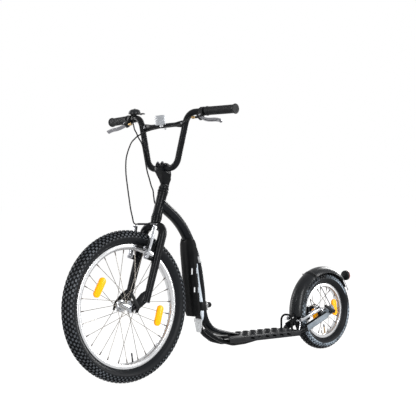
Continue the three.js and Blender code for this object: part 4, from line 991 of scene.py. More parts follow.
    def block(
        self, low: Point, high: Point, look: int = 0, bevel: float = 0.0, frame: Matrix | None = None,
    ) -> "Form":
        """A box between two corners, with its edges eased.

        Args:
            low: The lowest corner.
            high: The highest corner.
            look: The material number.
            bevel: The width of its edges' bevel.
            frame: A frame that it is placed by.

        Returns:
            This form.
        """
        mesh = self.mesh
        middle = (Vector(low) + Vector(high)) / 2
        size = Vector(high) - Vector(low)
        stage = Matrix.Translation(middle) @ Matrix.Diagonal((*size, 1))
        verts = bmesh.ops.create_cube(mesh, size=1, matrix=stage)["verts"]
        faces = list({f for v in verts for f in v.link_faces})
        if bevel:
            edges = list({e for v in verts for e in v.link_edges})
            made = self.bevelled(edges, bevel)
            faces = list({f for f in faces if f.is_valid} | set(made))
            verts = list({v for f in faces for v in f.verts})
        if frame is not None:
            bmesh.ops.transform(mesh, matrix=frame, verts=verts)
        self.finish_faces(faces, look)
        return self

    def rod(
        self, start: Point, end: Point, radius: float, sides: int = 24, look: int = 0,
        end_radius: float | None = None, ease: float = 0.0,
    ) -> "Form":
        """A round bar between two points, with eased ends.

        Args:
            start: Its first end.
            end: Its other end.
            radius: The radius at its start.
            sides: Its sides.
            look: The material number.
            end_radius: The radius at its end, where that differs.
            ease: How much its end edges are rounded.

        Returns:
            This form.
        """
        run = Vector(end) - Vector(start)
        last = radius if end_radius is None else end_radius
        length = run.length
        first, final = [(radius, 0)], [(last, length)]
        if ease:
            first = [(radius - ease, 0), (radius, ease)]
            final = [(last, length - ease), (last - ease, length)]
        return self.turned([(0, 0), *first, *final, (0, length)], sides, look, start, run.normalized())

    def hex_bolt(self, at: Point, axis: Point, radius: float, height: float, look: int = 0) -> "Form":
        """A cap screw's head with its hexagon socket.

        Args:
            at: The foot of the head.
            axis: The way that it faces.
            radius: The head's radius.
            height: The head's height.
            look: The material number.

        Returns:
            This form.
        """
        profile = [
            (0, 0), (radius, 0), (radius, height * 0.85), (radius * 0.88, height), (radius * 0.55, height),
            (radius * 0.5, height * 0.35), (0, height * 0.35),
        ]
        return self.turned(profile, 18, look, at, axis)

    def joined(self, other: "Form", matrix: Matrix | None = None) -> "Form":
        """Adds a copy of another form.

        Args:
            other: The form that is copied.
            matrix: Where the copy goes.

        Returns:
            This form.
        """
        held = bpy.data.meshes.new("held")
        other.mesh.to_mesh(held)
        if matrix is not None:
            held.transform(matrix)
            if matrix.determinant() < 0:
                held.flip_normals()
        self.mesh.from_mesh(held)
        bpy.data.meshes.remove(held)
        return self

    def copied(self, node: str, matrix: Matrix, bevel: float = 0.6, angle: float = 38.0) -> "Form":
        """Starts from a copy of a CAD node with its sharp edges eased.

        Args:
            node: The node's name.
            matrix: The frame that this form is made in.
            bevel: The width of the bevel.
            angle: The least turn between faces that is bevelled, in degrees.

        Returns:
            This form.
        """
        mesh = self.mesh
        mesh.from_mesh(NODES[node].data)
        bmesh.ops.transform(mesh, matrix=matrix.inverted(), verts=mesh.verts)
        bmesh.ops.remove_doubles(mesh, verts=mesh.verts, dist=0.003)
        bmesh.ops.dissolve_limit(
            mesh, angle_limit=math.radians(1.5), use_dissolve_boundaries=False, verts=mesh.verts,
            edges=mesh.edges,
        )
        if bevel:
            limit = math.radians(angle)
            self.bevelled([e for e in mesh.edges if e.is_manifold and e.calc_face_angle(0) > limit], bevel)
        return self

    def painted(self, look: int, test: Callable[[Vector], bool]) -> "Form":
        """Gives a material number to the faces whose middle passes a test.

        Args:
            look: The material number.
            test: What a face's middle has to pass.

        Returns:
            This form.
        """
        for face in self.mesh.faces:
            if test(face.calc_center_median()):
                face.material_index = look
        return self

    def placed(
        self, node: str, matrix: Matrix, looks: Sequence[Look], body: str, slot: str, smooth: float = 35.0,
        name: str = "",
    ) -> bpy.types.Object:
        """Makes the piece.

        Args:
            node: The CAD node that it stands for, or nothing.
            matrix: What takes this form to the part's frame.
            looks: The finishes, in the order of the material numbers.
            body: The body that the piece rides on.
            slot: The record's material slot.
            smooth: The turn between faces, in degrees, up to which shading is smooth.
            name: The piece's name, where it stands for no node.

        Returns:
            The piece.
        """
        mesh = self.mesh
        bmesh.ops.transform(mesh, matrix=matrix, verts=mesh.verts)
        bmesh.ops.recalc_face_normals(mesh, faces=mesh.faces)
        limit = math.radians(smooth)
        for face in mesh.faces:
            face.smooth = True
        for edge in mesh.edges:
            edge.smooth = not (edge.is_manifold and edge.calc_face_angle(0) > limit)
        name = name or f"{node}_piece"
        data = bpy.data.meshes.new(name)
        mesh.to_mesh(data)
        mesh.free()
        return settled(name, data, looks, body, node, slot)

    def placed_both(
        self, node: str, matrix: Matrix, looks: Sequence[Look], bodies: tuple[str, str], slot: str,
        smooth: float = 35.0,
    ) -> None:
        """Makes a left piece and its mirror image on the right.

        Args:
            node: The start of both CAD nodes' names.
            matrix: What takes this form to the part's frame.
            looks: The finishes.
            bodies: The bodies of the left and the right piece.
            slot: The record's material slot.
            smooth: The turn up to which shading is smooth.
        """
        right = Form().joined(self, MIRROR @ matrix)
        self.placed(f"{node}_left", matrix, looks, bodies[0], slot, smooth)
        right.placed(f"{node}_right", Matrix.Identity(4), looks, bodies[1], slot, smooth)


def cut_by(form: Form, cutter: Form) -> Form:
    """Cuts one form by another.

    Args:
        form: The form that is cut.
        cutter: The form that cuts it.

    Returns:
        What is left.
    """
    objects = []
    for shape in (form, cutter):
        bmesh.ops.recalc_face_normals(shape.mesh, faces=shape.mesh.faces)
        data = bpy.data.meshes.new("cutting")
        shape.mesh.to_mesh(data)
        objects.append(bpy.data.objects.new("cutting", data))
        bpy.context.scene.collection.objects.link(objects[-1])
    whole, knife = objects
    tool = whole.modifiers.new("cut", "BOOLEAN")
    tool.operation = "DIFFERENCE"
    tool.solver = "EXACT"
    tool.object = knife
    graph = bpy.context.evaluated_depsgraph_get()
    left = Form()
    left.mesh.from_mesh(bpy.data.meshes.new_from_object(whole.evaluated_get(graph)))
    for thing in objects:
        bpy.data.objects.remove(thing)
    return left


def cable(
    node: str, points: Sequence[Vector], radius: float, look: Look, body: str, slot: str,
) -> bpy.types.Object:
    """A sheathed cable on a smooth route.

    Args:
        node: The CAD node that it stands for.
        points: Its route in metres of the part's frame.
        radius: Its radius in metres.
        look: Its finish.
        body: The body that it rides on.
        slot: The record's material slot.

    Returns:
        The piece.
    """
    name = f"{node}_piece"
    curve = bpy.data.curves.new(name, "CURVE")
    curve.dimensions = "3D"
    spline = curve.splines.new("POLY")
    spline.points.add(len(points) - 1)
    for knot, point in zip(spline.points, points):
        knot.co = (*point, 1)
    curve.bevel_depth = radius
    curve.bevel_resolution = 3
    curve.use_fill_caps = True
    return settled(name, curve, [look], body, node, slot)


NODES: dict[str, bpy.types.Object] = {}


# Wheels


@dataclass
class Wheel:
    """A spoked wheel with its tyre, rim, hub, spokes, valve and side reflectors."""

    prefix: str
    body: str
    frame: Matrix
    tyre_look: Look
    rim_look: Look
    radius: float
    rim: float
    depth: float
    tyre_half: float
    spokes: int
    flange: float
    spacing: float
    shell: float
    hub_half: float
    valve_length: float
    valve_spokes: float
    reflector: tuple[float, float, float]
    reflector_angles: tuple[float, float]
    pitches: int
    knob: float = 4.6
    block_look: Look = Look.TREAD_TOP_HIGHLIGHT
    valve_looks: tuple[Look, Look] = (Look.RUBBER, Look.DARK)
    rim_half: float = 13.0
    spoke_lean: float = 58.0
    tread_rows: tuple = ((0, 0.0, 1.0), (23, 0.5, 1.0), (46, 0.0, 1.0), (68, 0.5, 1.05), (86, 0.0, 0.8))
    block_width: float = 7.4
    block_share: float = 0.62

    def place(self, form: Form, part: str, looks: Sequence[Look], slot: str, smooth: float = 40.0) -> None:
        """Places a form as one of the wheel's pieces."""
        form.placed(f"{self.prefix}_{part}", self.frame, looks, self.body, slot, smooth)

    def spoke_ends(self) -> list[tuple[Vector, Vector]]:
        """Where each spoke leaves its flange and where it meets the rim.

        Returns:
            The two ends of each spoke.
        """
        bed = self.rim - self.depth
        ends = []
        for k in range(self.spokes):
            side = -1 if k % 2 else 1
            lean = -1 if (k // 2) % 2 else 1
            outer = 360 * k / self.spokes
            face = side * self.spacing / 2 + lean * 2.1
            start = wheel_point(self.flange - 3.5, outer + lean * self.spoke_lean, face)
            ends.append((start, wheel_point(bed, outer, side * self.rim_half / 4)))
        return ends

    def section(self, degrees: float, inset: float) -> tuple[float, float]:
        """A point of the tyre's section, as its radius and its place across.

        Args:
            degrees: The angle round the section, 0 at the crown.
            inset: How far it lies inside the outermost skin.

        Returns:
            The radius and the place across.
        """
        middle = (self.radius + self.rim) / 2 + 1
        reach = self.radius - middle
        angle = math.radians(degrees)
        return middle + (reach - inset) * math.cos(angle), (self.tyre_half - inset) * math.sin(angle)

    def tyre(self) -> None:
        """The casing and the blocks of its tread."""
        form = Form()
        outer = []
        for degrees in range(-138, 139, 6):
            under = self.knob * min(1.0, max(0.0, (96 - abs(degrees)) / 24))
            groove = 0.35 if abs(degrees) in (96, 108, 120) else 0.0
            outer.append(self.section(degrees, under + groove))
        lip, depth = self.rim, self.depth
        foot = [(lip + 0.4, 10.6), (lip - depth * 0.3, 10.4), (lip - depth * 0.34, 0)]
        form.turned([*flipped(foot[:2]), *outer, *foot], 120)
        for degrees, phase, large in self.tread_rows:
            for side in ((1,) if degrees == 0 else (-1, 1)):
                for k in range(self.pitches):
                    self.block(form, degrees * side, 360 * (k + phase) / self.pitches, large)
        self.place(form, "tyre", [self.tyre_look, self.block_look], "tyre", 32)

    def block(self, form: Form, degrees: float, turn: float, large: float) -> None:
        """One tapered block of the tread.

        Args:
            form: The tyre.
            degrees: Its angle round the section.
            turn: Its angle round the wheel.
            large: Its size as a share of a common block.
        """
        radius, across = self.section(degrees, 0.15)
        angle = math.radians(degrees)
        middle = (self.radius + self.rim) / 2 + 1
        out = Vector((math.cos(angle) / (self.radius - middle), math.sin(angle) / self.tyre_half))
        out.normalize()
        radial = wheel_point(1, turn, 0)
        normal = (radial * out.x + Vector((0, out.y, 0))).normalized()
        along = wheel_point(1, turn + 90, 0)
        stage = basis(along, normal.cross(along), wheel_point(radius, turn, across))
        length = 2 * math.pi * radius / self.pitches * self.block_share * large
        width = self.block_width * large
        deep = self.knob + 0.8
        low = stage @ Matrix.Translation((0, 0, -deep / 2)) @ Matrix.Diagonal((length, width, deep, 1))
        mesh = form.mesh
        verts = bmesh.ops.create_cube(mesh, size=1, matrix=Matrix.Identity(4))["verts"]
        top = [v for v in verts if v.co.z > 0]
        # The top face takes the block finish, which on the front tyre is a painted highlight.
        block_tops = [f for f in top[0].link_faces if all(v in top for v in f.verts)]
        form.finish_faces(block_tops, 1)
        bmesh.ops.scale(mesh, verts=top, vec=(0.78, 0.82, 1))
        bmesh.ops.transform(mesh, matrix=low, verts=verts)

    def rim_piece(self) -> None:
        """The double-walled rim with its braking faces."""
        lip, half, bed = self.rim, self.rim_half, self.rim - self.depth
        inner = half - 2
        profile = [
            (lip - 0.4 * self.depth, inner), (lip - 1, inner), (lip, half - 1.5), (lip, half - 0.7),
            (lip - 0.9, half), (bed + self.depth * 0.33, half), (bed + self.depth * 0.28, half - 0.8),
            (bed + self.depth * 0.2, half - 2.6), (bed + 1.4, 7.2), (bed + 0.15, 3.5),
        ]
        form = Form().turned([*profile, *flipped(profile)], 144)
        self.place(form, "rim", [self.rim_look], "silver")

    def hub(self) -> None:
        """The hub shell with its flanges, spokes and nipples."""
        flange, end, shell, wide = self.spacing / 2, self.hub_half, self.shell, self.flange
        half = [
            (5, end), (7.4, end), (8.2, end - 0.8), (8.2, end - 3), (10.4, end - 3.6), (10.8, flange + 6),
            (shell, flange + 4.2), (wide - 2.5, flange + 2.2), (wide - 0.6, flange + 1.7),
            (wide, flange + 1), (wide, flange - 1), (wide - 0.6, flange - 1.7), (wide - 2.5, flange - 2.1),
            (shell, flange - 4.5), (shell - 1.2, flange - 9), (shell - 1.4, 0.5),
        ]
        form = Form().turned([*half, *flipped(half)], 64)
        for start, stop in self.spoke_ends():
            way = (stop - start).normalized()
            form.rod(start, stop - way * 6, 1.0, 8, 1)
            form.rod(stop - way * 12, stop + way * 1, 1.5, 10, 2, 2.1)
            side = 1 if start.y > 0 else -1
            outer = 1 if abs(start.y) > flange else -1
            head = start + Vector((0, side * outer * 0.2, 0))
            form.rod(head, head + Vector((0, side * outer * 1.1, 0)), 1.9, 10, 1, 1.3)
        self.place(form, "hub", [Look.ALLOY, Look.SPOKE, Look.NIPPLE], "steel")

    def valve(self) -> None:
        """The valve's stem and cap."""
        bed = self.rim - self.depth
        angle = 360 * self.valve_spokes / self.spokes
        foot = wheel_point(bed - 0.3, angle, 0)
        head = wheel_point(bed - 0.3 - self.valve_length, angle, 0)
        along = (head - foot).normalized()
        knee = foot + along * self.valve_length * 0.45
        form = Form().rod(foot, knee, 2.9, 16, 0, 2.6)
        form.rod(knee, head - along * 9, 2.3, 16)
        form.rod(head - along * 10, head, 2.9, 16, 1, 2.5, 0.5)
        self.place(form, "valve", self.valve_looks, "black_plastic")

    def reflectors(self) -> None:
        """The oval side reflectors: a clipped frame round a lens with a raised rim."""
        length, width, radius = self.reflector
        share = (radius - self.flange) / (self.rim - self.flange)
        place = self.spacing / 2 + (self.rim_half / 4 - self.spacing / 2) * share
        for letter, degrees in zip("ab", self.reflector_angles):
            along, out = wheel_point(1, degrees + 90, 0), wheel_point(1, degrees, 0)
            stage = basis(along, out, wheel_point(radius, degrees, place))
            form = Form().plate(oval(length, width, 12), 3.9, stage, 0, 1.1)
            for sign in (-1, 1):
                form.plate(oval(length - 5, width - 5, 12), 0.4, stage @ shift(0, 0, sign * 4.1), 1, 0.2)
                form.block((sign * 9 - 3.5, -1.1, 3.9), (sign * 9 + 3.5, 1.1, 4.7), 0, 0.3, stage)
            self.place(form, f"wheel_reflector_{letter}", [Look.AMBER, Look.AMBER], "amber")

    def build(self) -> None:
        """Makes every piece of the wheel."""
        self.tyre()
        self.rim_piece()
        self.hub()
        self.valve()
        self.reflectors()


def oval(length: float, height: float, steps: int) -> list[tuple[float, float]]:
    """The corners of an oval with straight sides, its length along X.

    Args:
        length: Its length.
        height: Its height.
        steps: The steps of each rounded end.

    Returns:
        The corners, anticlockwise.
    """
    reach, radius = (length - height) / 2, height / 2
    corners = []
    for side in (1, -1):
        for k in range(steps + 1):
            angle = math.pi * (k / steps - 0.5) + (0 if side > 0 else math.pi)
            corners.append((side * reach + radius * math.cos(angle), radius * math.sin(angle)))
    return corners


# Rim brakes


@dataclass
class RimBrake:
    """A pair of long brake arms with their pads, posts and bolts."""

    prefix: str
    frame: Matrix
    pivot_half: float
    tip_half: float
    pivot: float
    length: float
    pad_radius: float
    plane: float
    pad_outer: float = 24.0

    def arm(self, side: int, node: str) -> None:
        """One arm with its pad.

        Args:
            side: 1 where the arm stands at the frame's positive Y.
            node: The arm's CAD node, which is also its body.
        """
        form = Form().copied(node, self.frame, 0.9)
        form.painted(1, lambda p: p.y * side < self.pad_outer + 0.2)
        rise = math.sqrt(self.pad_radius ** 2 - self.plane ** 2)
        share = (rise - self.pivot) / self.length
        bolt = self.pivot_half + (self.tip_half - self.pivot_half) * share + 5

        def on_arm(across: float, up: float, ahead: float = 0.0) -> Vector:
            """A place on this arm: its distance from the wheel's plane, its height and its reach ahead."""
            return Vector((self.plane + ahead, side * across, up))

        form.rod(on_arm(bolt - 0.5, rise), on_arm(bolt + 4.5, rise), 5, 6, 2, 4.6, 0.6)
        form.rod(on_arm(self.pad_outer + 0.5, rise), on_arm(self.pad_outer + 3, rise), 6.5, 20, 2)
        form.hex_bolt(on_arm(self.tip_half, self.pivot + self.length - 2, 5), (1, 0, 0), 3.6, 3.2, 2)
        washer = [(3.2, 0), (8, 0), (8, 1.2), (3.2, 1.2)]
        form.turned(washer, 24, 2, on_arm(self.pivot_half, self.pivot, 5), (1, 0, 0))
        form.placed(node, self.frame, [Look.ALLOY, Look.RUBBER, Look.STEEL], node, "silver", 40)

    def build(self) -> None:
        """Makes both arms."""
        left = 1 if self.prefix == "front" else -1
        self.arm(left, f"{self.prefix}_brake_arm_left")
        self.arm(-left, f"{self.prefix}_brake_arm_right")


# Fork, headset, stem and bar


@dataclass
class FrontEnd:
    """The fork, headset, stem, handlebar and what is clamped to them."""

    crown: float = -30.0
    leg_half: float = 50.0
    leg_top: float = 15.0
    leg_slim: float = 11.6
    leg_foot: float = 9.5
    leg_end: float = -300.0
    stem_reach: float = 26.0
    stem_height: float = 168.0
    bar_radius: float = 11.0
    bar_foot: float = 72.0
    bar_top: float = 125.5
    bar_rise: float = 178.0
    bar_run: float = 51.4
    bar_sweep: float = 28.0
    bar_end: float = 330.0
    end_rise: float = 8.0
    bar_bend: float = 45.0
    grip_length: float = 123.0
    lever_place: float = 198.0
    lever_tilt: float = 45.6
    bell_place: float = 166.0
    bell_foot: float = 16.4

    def __post_init__(self) -> None:
        """Works out the bar's corners."""
        self.foot = Vector((self.stem_reach, self.bar_foot, self.stem_height))
        self.shoulder = self.foot + Vector((self.bar_run, self.bar_top - self.bar_foot, self.bar_rise))
        self.end = Vector((self.shoulder.x - self.bar_sweep, self.bar_end, self.shoulder.z + self.end_rise))
        self.way = (self.end - self.shoulder).normalized()

    def bar_point(self, half: float) -> Vector:
        """The point of the left grip's straight at a distance from the middle plane."""
        share = (half - self.shoulder.y) / (self.end.y - self.shoulder.y)
        return self.shoulder.lerp(self.end, share)

    def lever_frame(self) -> Matrix:
        """The left lever's frame: X out along the bar, Y from the bar to the blade.

        Returns:
            The frame.
        """
        angle = math.radians(self.lever_tilt + HEAD_ANGLE)
        down = Vector((math.cos(angle), 0, -math.sin(angle)))
        blade = (down - self.way * down.dot(self.way)).normalized()
        return basis(self.way, blade, self.bar_point(self.lever_place))

    def fork(self) -> None:
        """The legs under their bent crown, the dropouts, the brake posts and the steerer."""
        half = Form()
        set_back, side, low = -4, self.leg_half, self.leg_end
        corners = [(0, 0, self.crown), (-2, side, self.crown - self.leg_foot), (set_back, side, low)]
        route = rounded(corners, 40, 6)
        shares = [k / 10 for k in range(1, 11)]
        route = route[:-1] + [route[-2].lerp(route[-1], share) for share in shares]
        radii = [self.leg_top] * (len(route) - 10)
        radii += [self.leg_top + (self.leg_slim - self.leg_top) * share for share in shares]
        half.swept(route, radii, 28, 0, Vector((1, 0, 0)))
        half.rod((set_back, side, low + 2), (set_back, side, low - 0.6), self.leg_slim - 1.2, 28, 1)
        x, z, wide, slot = FORK_RAKE, -FORK_LENGTH, self.leg_foot, 4.9
        outline = [
            (set_back - wide, low), (set_back - wide, low + wide * 4), (set_back + wide, low + wide * 4.4),
            (x - wide, low + wide * 2.4), (x + wide * 0.8, z + wide * 2), (x + wide * 1.3, z + wide * 1.2),
            (x + wide * 1.3, z - wide * 1.9), (x + slot, z - wide * 1.9), (x + slot, z + 2),
            (x + 3, z + slot - 0.5), (x, z + slot), (x - 3, z + slot - 0.5), (x - slot, z + 2),
            (x - slot, z - wide * 1.9), (x - wide * 1.5, z - wide * 1.7), (x - wide * 1.9, z),
            (set_back, low - 0.3),
        ]
        stage = basis((1, 0, 0), UP, (0, self.leg_half, 0))
        half.plate(outline, 2.5, stage, 0, 0.7)
        post = Vector((x + FRONT_PLANE, FRONT_PIVOT_HALF, z + FRONT_PIVOT))
        root = Vector((set_back, post.y, post.z))
        half.rod(root, post - Vector((5.3, 0, 0)), 8, 24, 0, None, 0.8)
        half.rod(root, post + Vector((7.8, 0, 0)), 4.2, 20, 1)
        half.hex_bolt(post + Vector((5.3, 0, 0)), (1, 0, 0), 6.3, 2.5, 1)
        form = Form().joined(half).joined(half, MIRROR)
        top = HEAD_LENGTH + 28
        foot = self.crown
        form.turned([(0, foot), (12.7, foot), (12.7, top), (11.4, top), (11.4, 45), (0, 45)], 40, axis=UP)
        race = [(0, foot - 6), (14, foot - 6), (16, foot + 2), (17, -16), (17, -13.4), (0, -13.4)]
        form.turned(race, 48, axis=UP)
        form.placed("fork", STEERING, [Look.PAINT, Look.STEEL], "steering", "black_paint", 34)

    def headset(self) -> None:
        """The cups pressed into the head tube and the nuts above them."""
        lower = [
            (13, -13), (16.6, -13), (18, -12), (18.2, -8.8), (16.6, -8.2), (16.6, -6.6), (18.6, -5.8),
            (19, -4.6), (19, -1.2), (18.2, -0.4), (13, -0.4),
        ]
        base = HEAD_LENGTH
        upper = [
            (13, base + 0.4), (18.4, base + 0.4), (19, base + 1.2), (19, base + 5), (18.2, base + 6),
            (16.8, base + 6.4), (16.8, base + 7.6), (17.4, base + 8.4), (17.2, base + 9.8), (13, base + 9.8),
        ]
        for node, profile in (("headset_lower_cup", lower), ("headset_upper_cup", upper)):
            cup = Form().turned(profile, 56, axis=UP)
            cup.placed(node, STEERING, [Look.PAINT], "frame", "black_paint", 40)
        low = base + 10.3
        nut = Form().turned([
            (13, low), (17.4, low), (18, low + 0.8), (18, low + 6.4), (17, low + 7.4), (15.6, low + 8),
            (15.6, low + 9.2), (13, low + 9.2),
        ], 56, axis=UP)
        stage = basis((1, 0, 0), (0, 1, 0), (0, 0, low + 13.2))
        solid = Form().plate(ring(6, 17), 4, stage, 0, 0.8)
        nut.joined(cut_by(solid, Form().rod((0, 0, low), (0, 0, low + 30), 12.95, 40)))
        nut.placed("headset_nut", STEERING, [Look.PAINT], "steering", "black_paint", 40)

    def stem(self) -> None:
        """The stem, its cap and the cap's four screws."""
        form = Form().copied("stem", STEERING, 1.2)
        waist = [(14.8, 128), (40, 128), (40, 157), (25, 157), (18.5, 152), (15.4, 145)]
        cutter = Form()
        for sign in (-1, 1):
            stage = basis((0, sign, 0), UP, (10, 0, 0))
            cutter.plate(waist, 60, stage)
        form = cut_by(form, cutter)
        form.hex_bolt((-7, 0, HEAD_LENGTH + 50), (-0.5, 0, 0.85), 4.5, 3, 1)
        form.placed("stem", STEERING, [Look.PAINT, Look.DARK], "steering", "black_paint", 36)
        cap = Form().copied("stem_cap", STEERING, 1.2)
        for across in (-1, 1):
            for end in (-1, 1):
                x, y, z = self.stem_reach + end * 16.34, across * 12, self.stem_height + 18.6
                cap.rod((x, y, self.stem_height + 1), (x, y, z - 3.8), 6.6, 24, 0, 6.2, 1)
                cap.turned([(0, 0), (5.2, 0), (5.2, 0.9), (0, 0.9)], 20, 1, (x, y, z - 4), UP)
                cap.hex_bolt((x, y, z - 3.2), UP, 4.2, 3.6, 1)
        cap.placed("stem_cap", STEERING, [Look.PAINT, Look.DARK], "steering", "black_paint", 36)

    def bar(self) -> None:
        """The bent bar and the brace that crosses it."""
        left = [self.foot, self.shoulder, self.bar_point(self.bar_end - 2)]
        corners = [Vector((p.x, -p.y, p.z)) for p in left[::-1]] + left
        form = Form().swept(rounded(corners, self.bar_bend, 5), self.bar_radius, 32, 0)
        form.placed("handlebar", STEERING, [Look.PAINT], "steering", "black_paint", 34)
        end = self.foot.lerp(self.shoulder, BRACE_SHARE)
        half = end.y - 8
        ends = [
            (half, 11.5, 0.3), (half - 8, 12, 0.3), (half - 16, 11.4, 0.36), (half - 30, 9.6, 0.66),
            (half - 44, 8, 1), (40, 8, 1), (20, 8, 1),
        ]
        rows = smoothed([*[(-y, w, f) for y, w, f in ends], (0, 8, 1), *ends[::-1]], 4)
        brace = Form().swept(
            [(end.x, y, end.z) for y, _, _ in rows], [w for _, w, _ in rows], 28, 0, Vector((SIN, 0, COS)),
            [f for _, _, f in rows],
        )
        for side in (-1, 1):
            spot = Vector((end.x + 3, side * (half - 8), end.z))
            brace.turned([(0, 0), (5.6, 0), (5.6, 1), (0, 1)], 24, 1, spot, (1, 0, 0))
            brace.hex_bolt(spot + Vector((0.9, 0, 0)), (1, 0, 0), 4.2, 3.4, 1)
            back = Vector((end.x - 3, side * (half - 8), end.z))
            brace.rod(back, back - Vector((3.2, 0, 0)), 4.4, 6, 1)
        brace.placed("crossbar", STEERING, [Look.PAINT, Look.STEEL], "steering", "black_paint", 34)

    def grips(self) -> None:
        """The grips, with moulded ribs and a wide outer flange."""
        length, bore = self.grip_length, 11.4
        profile = [(bore, 0), (15.6, 0), (16.2, 0.8), (16.2, 3.4), (15, 4.6)]
        place = 7.0
        while place < length - 14:
            profile += [(14.0, place), (14.5, place + 0.7), (14.5, place + 2.6), (14.0, place + 3.3)]
            place += 4.6
        profile += [
            (14.2, length - 9), (15.2, length - 7), (16.6, length - 5), (17, length - 3.4), (17, length - 1),
            (16.2, length), (6, length), (5, length - 0.8), (0, length - 0.8), (0, length - 1.6),
            (bore, length - 1.6),
        ]
        start = self.bar_point(self.bar_end) - self.way * length
        form = Form().turned(profile, 56, 0, start, self.way)
        form.placed_both("grip", STEERING, [Look.GRIP], ("steering", "steering"), "rubber", 32)

    def levers(self) -> None:
        """The brake levers, their clamps, adjusters and screws."""
        frame = STEERING @ self.lever_frame()
        clamp = Form().copied("lever_clamp_left", frame, 0.7)
        clamp.turned([
            (1.6, 0), (4.2, 0), (4.2, 5), (3.4, 5.6), (3.4, 7), (4.6, 7.4), (4.6, 13), (3.6, 14), (3.6, 16),
            (1.6, 16),
        ], 24, 1, (-24, ADJUSTER, 0), (-1, 0, 0))
        for y, z in ring(14, 4.5):
            spot = Vector((-33.5, ADJUSTER + y, z))
            clamp.block(spot - Vector((2.6, 0.35, 0.35)), spot + Vector((2.6, 0.35, 0.35)), 1, 0.1)
        clamp.hex_bolt((-7, -4, 15), (0, -0.2, 1), 3.6, 2.6, 2)
        for sign in (-1, 1):
            clamp.hex_bolt((0, ADJUSTER, sign * 9.2), (0, 0, sign), 4.2, 1.8, 2)
        looks = [Look.SATIN, Look.BRASS, Look.STEEL]
        clamp.placed_both("lever_clamp", frame, looks, ("steering", "steering"), "black_plastic", 36)
        blade = Form().copied("brake_lever_left", frame, 1.1)
        bodies = ("brake_lever_left", "brake_lever_right")
        blade.placed_both("brake_lever", frame, [Look.LEVER], bodies, "silver", 38)

    def bell(self) -> None:
        """The bell's clamp and base, its dome and the thumb hammer."""
        seat = self.bar_point(self.bell_place)
        frame = STEERING @ shift(seat.x, -seat.y, seat.z) @ tilt(HEAD_ANGLE)
        base = Form().copied("bell_base", frame, 0.35)
        base.hex_bolt((0, 4.5, -15.5), (0, 0, -1), 3, 2, 1)
        base.placed("bell_base", frame, [Look.SATIN, Look.STEEL], "steering", "black_plastic", 38)
        low = self.bell_foot
        dome = Form().turned([
            (0, low), (4, low), (4, low + 13), (13, low + 13.4), (19, low + 8), (20.8, low + 1),
            (22.2, low + 0.4), (23, low + 1), (22.9, low + 3), (22.3, low + 6), (21.2, low + 9),
            (19.2, low + 12), (16.2, low + 14.6), (12.4, low + 16.6), (8, low + 17.7), (3.5, low + 18),
            (3.4, low + 19), (2.6, low + 19.8), (0, low + 20),
        ], 64, axis=UP)
        dome.placed("bell_dome", frame, [Look.GLOSS], "steering", "gloss_plastic", 40)
        hammer = Form().copied("bell_hammer", frame, 0.5)
        hammer.placed("bell_hammer", frame, [Look.SATIN], "bell_hammer", "black_plastic", 36)

    def reflector(self) -> None:
        """The clear front reflector on its pale bracket."""
        spot = self.foot.lerp(self.shoulder, BRACE_SHARE)
        frame = STEERING @ shift(spot.x, 0, spot.z) @ tilt(HEAD_ANGLE)
        bracket = Form().copied("front_reflector_bracket", frame, 0.5)
        bracket.hex_bolt((0, 10, -10.5), (0, 0, -1), 3, 3, 1)
        bracket.placed("front_reflector_bracket", frame, [Look.PALE, Look.DARK], "steering", "clear", 38)
        stage = basis((0, 1, 0), UP, (16.3, 0, 19))
        lens = Form().plate(rounded_box(46, 34, 6, 6), 3.9, stage, 0, 1.2)
        for k in range(3):
            lens.block((-20, -14 + k * 9.6, 3.7), (20, -5.4 + k * 9.6, 4.0), 0, 0.1, stage)
        lens.placed("front_reflector_lens", frame, [Look.CLEAR], "steering", "clear", 38)

    def build(self) -> None:
        """Makes every piece of the front end."""
        self.fork()
        self.headset()
        self.stem()
        self.bar()
        self.grips()
        self.levers()
        self.bell()
        self.reflector()


def rounded_box(length: float, height: float, radius: float, steps: int) -> list[tuple[float, float]]:
    """The corners of a rectangle with rounded corners, anticlockwise.

    Args:
        length: Its length along X.
        height: Its height along Y.
        radius: The radius of its corners.
        steps: The steps of each corner.

    Returns:
        The corners.
    """
    corners = []
    for k, (sx, sy) in enumerate([(1, -1), (1, 1), (-1, 1), (-1, -1)]):
        cx, cy = sx * (length / 2 - radius), sy * (height / 2 - radius)
        for j in range(steps + 1):
            angle = math.pi / 2 * (k - 1 + j / steps)
            corners.append((cx + radius * math.cos(angle), cy + radius * math.sin(angle)))
    return corners


@dataclass
class Axle:
    """An axle with its cones, skewer nut and quick-release lever."""

    prefix: str
    frame: Matrix
    body: str
    dropout: float

    def build(self) -> None:
        """Makes the axle and its lever."""
        out = self.dropout + 0.4
        form = Form().rod((0, -59.8, 0), (0, 59.6, 0), 4.5, 28, 0)
        nut = [
            (4, -60), (6.5, -60), (9, -57.5), (9.2, -out - 3), (8.4, -out - 1.6), (9.2, -out), (4, -out),
        ]
        seat = [(4, out), (9.2, out), (8.4, out + 1.6), (9, out + 3), (8, 56), (4, 56)]
        for profile in (nut, seat):
            form.turned(profile, 40)
        form.placed(f"{self.prefix}_axle", self.frame, [Look.DARK], self.body, "steel", 38)
        node = f"{self.prefix}_quick_release"
        lever = Form().copied(node, self.frame, 1.2)
        lever.placed(node, self.frame, [Look.SATIN], node, "black_plastic", 38)


# Frame


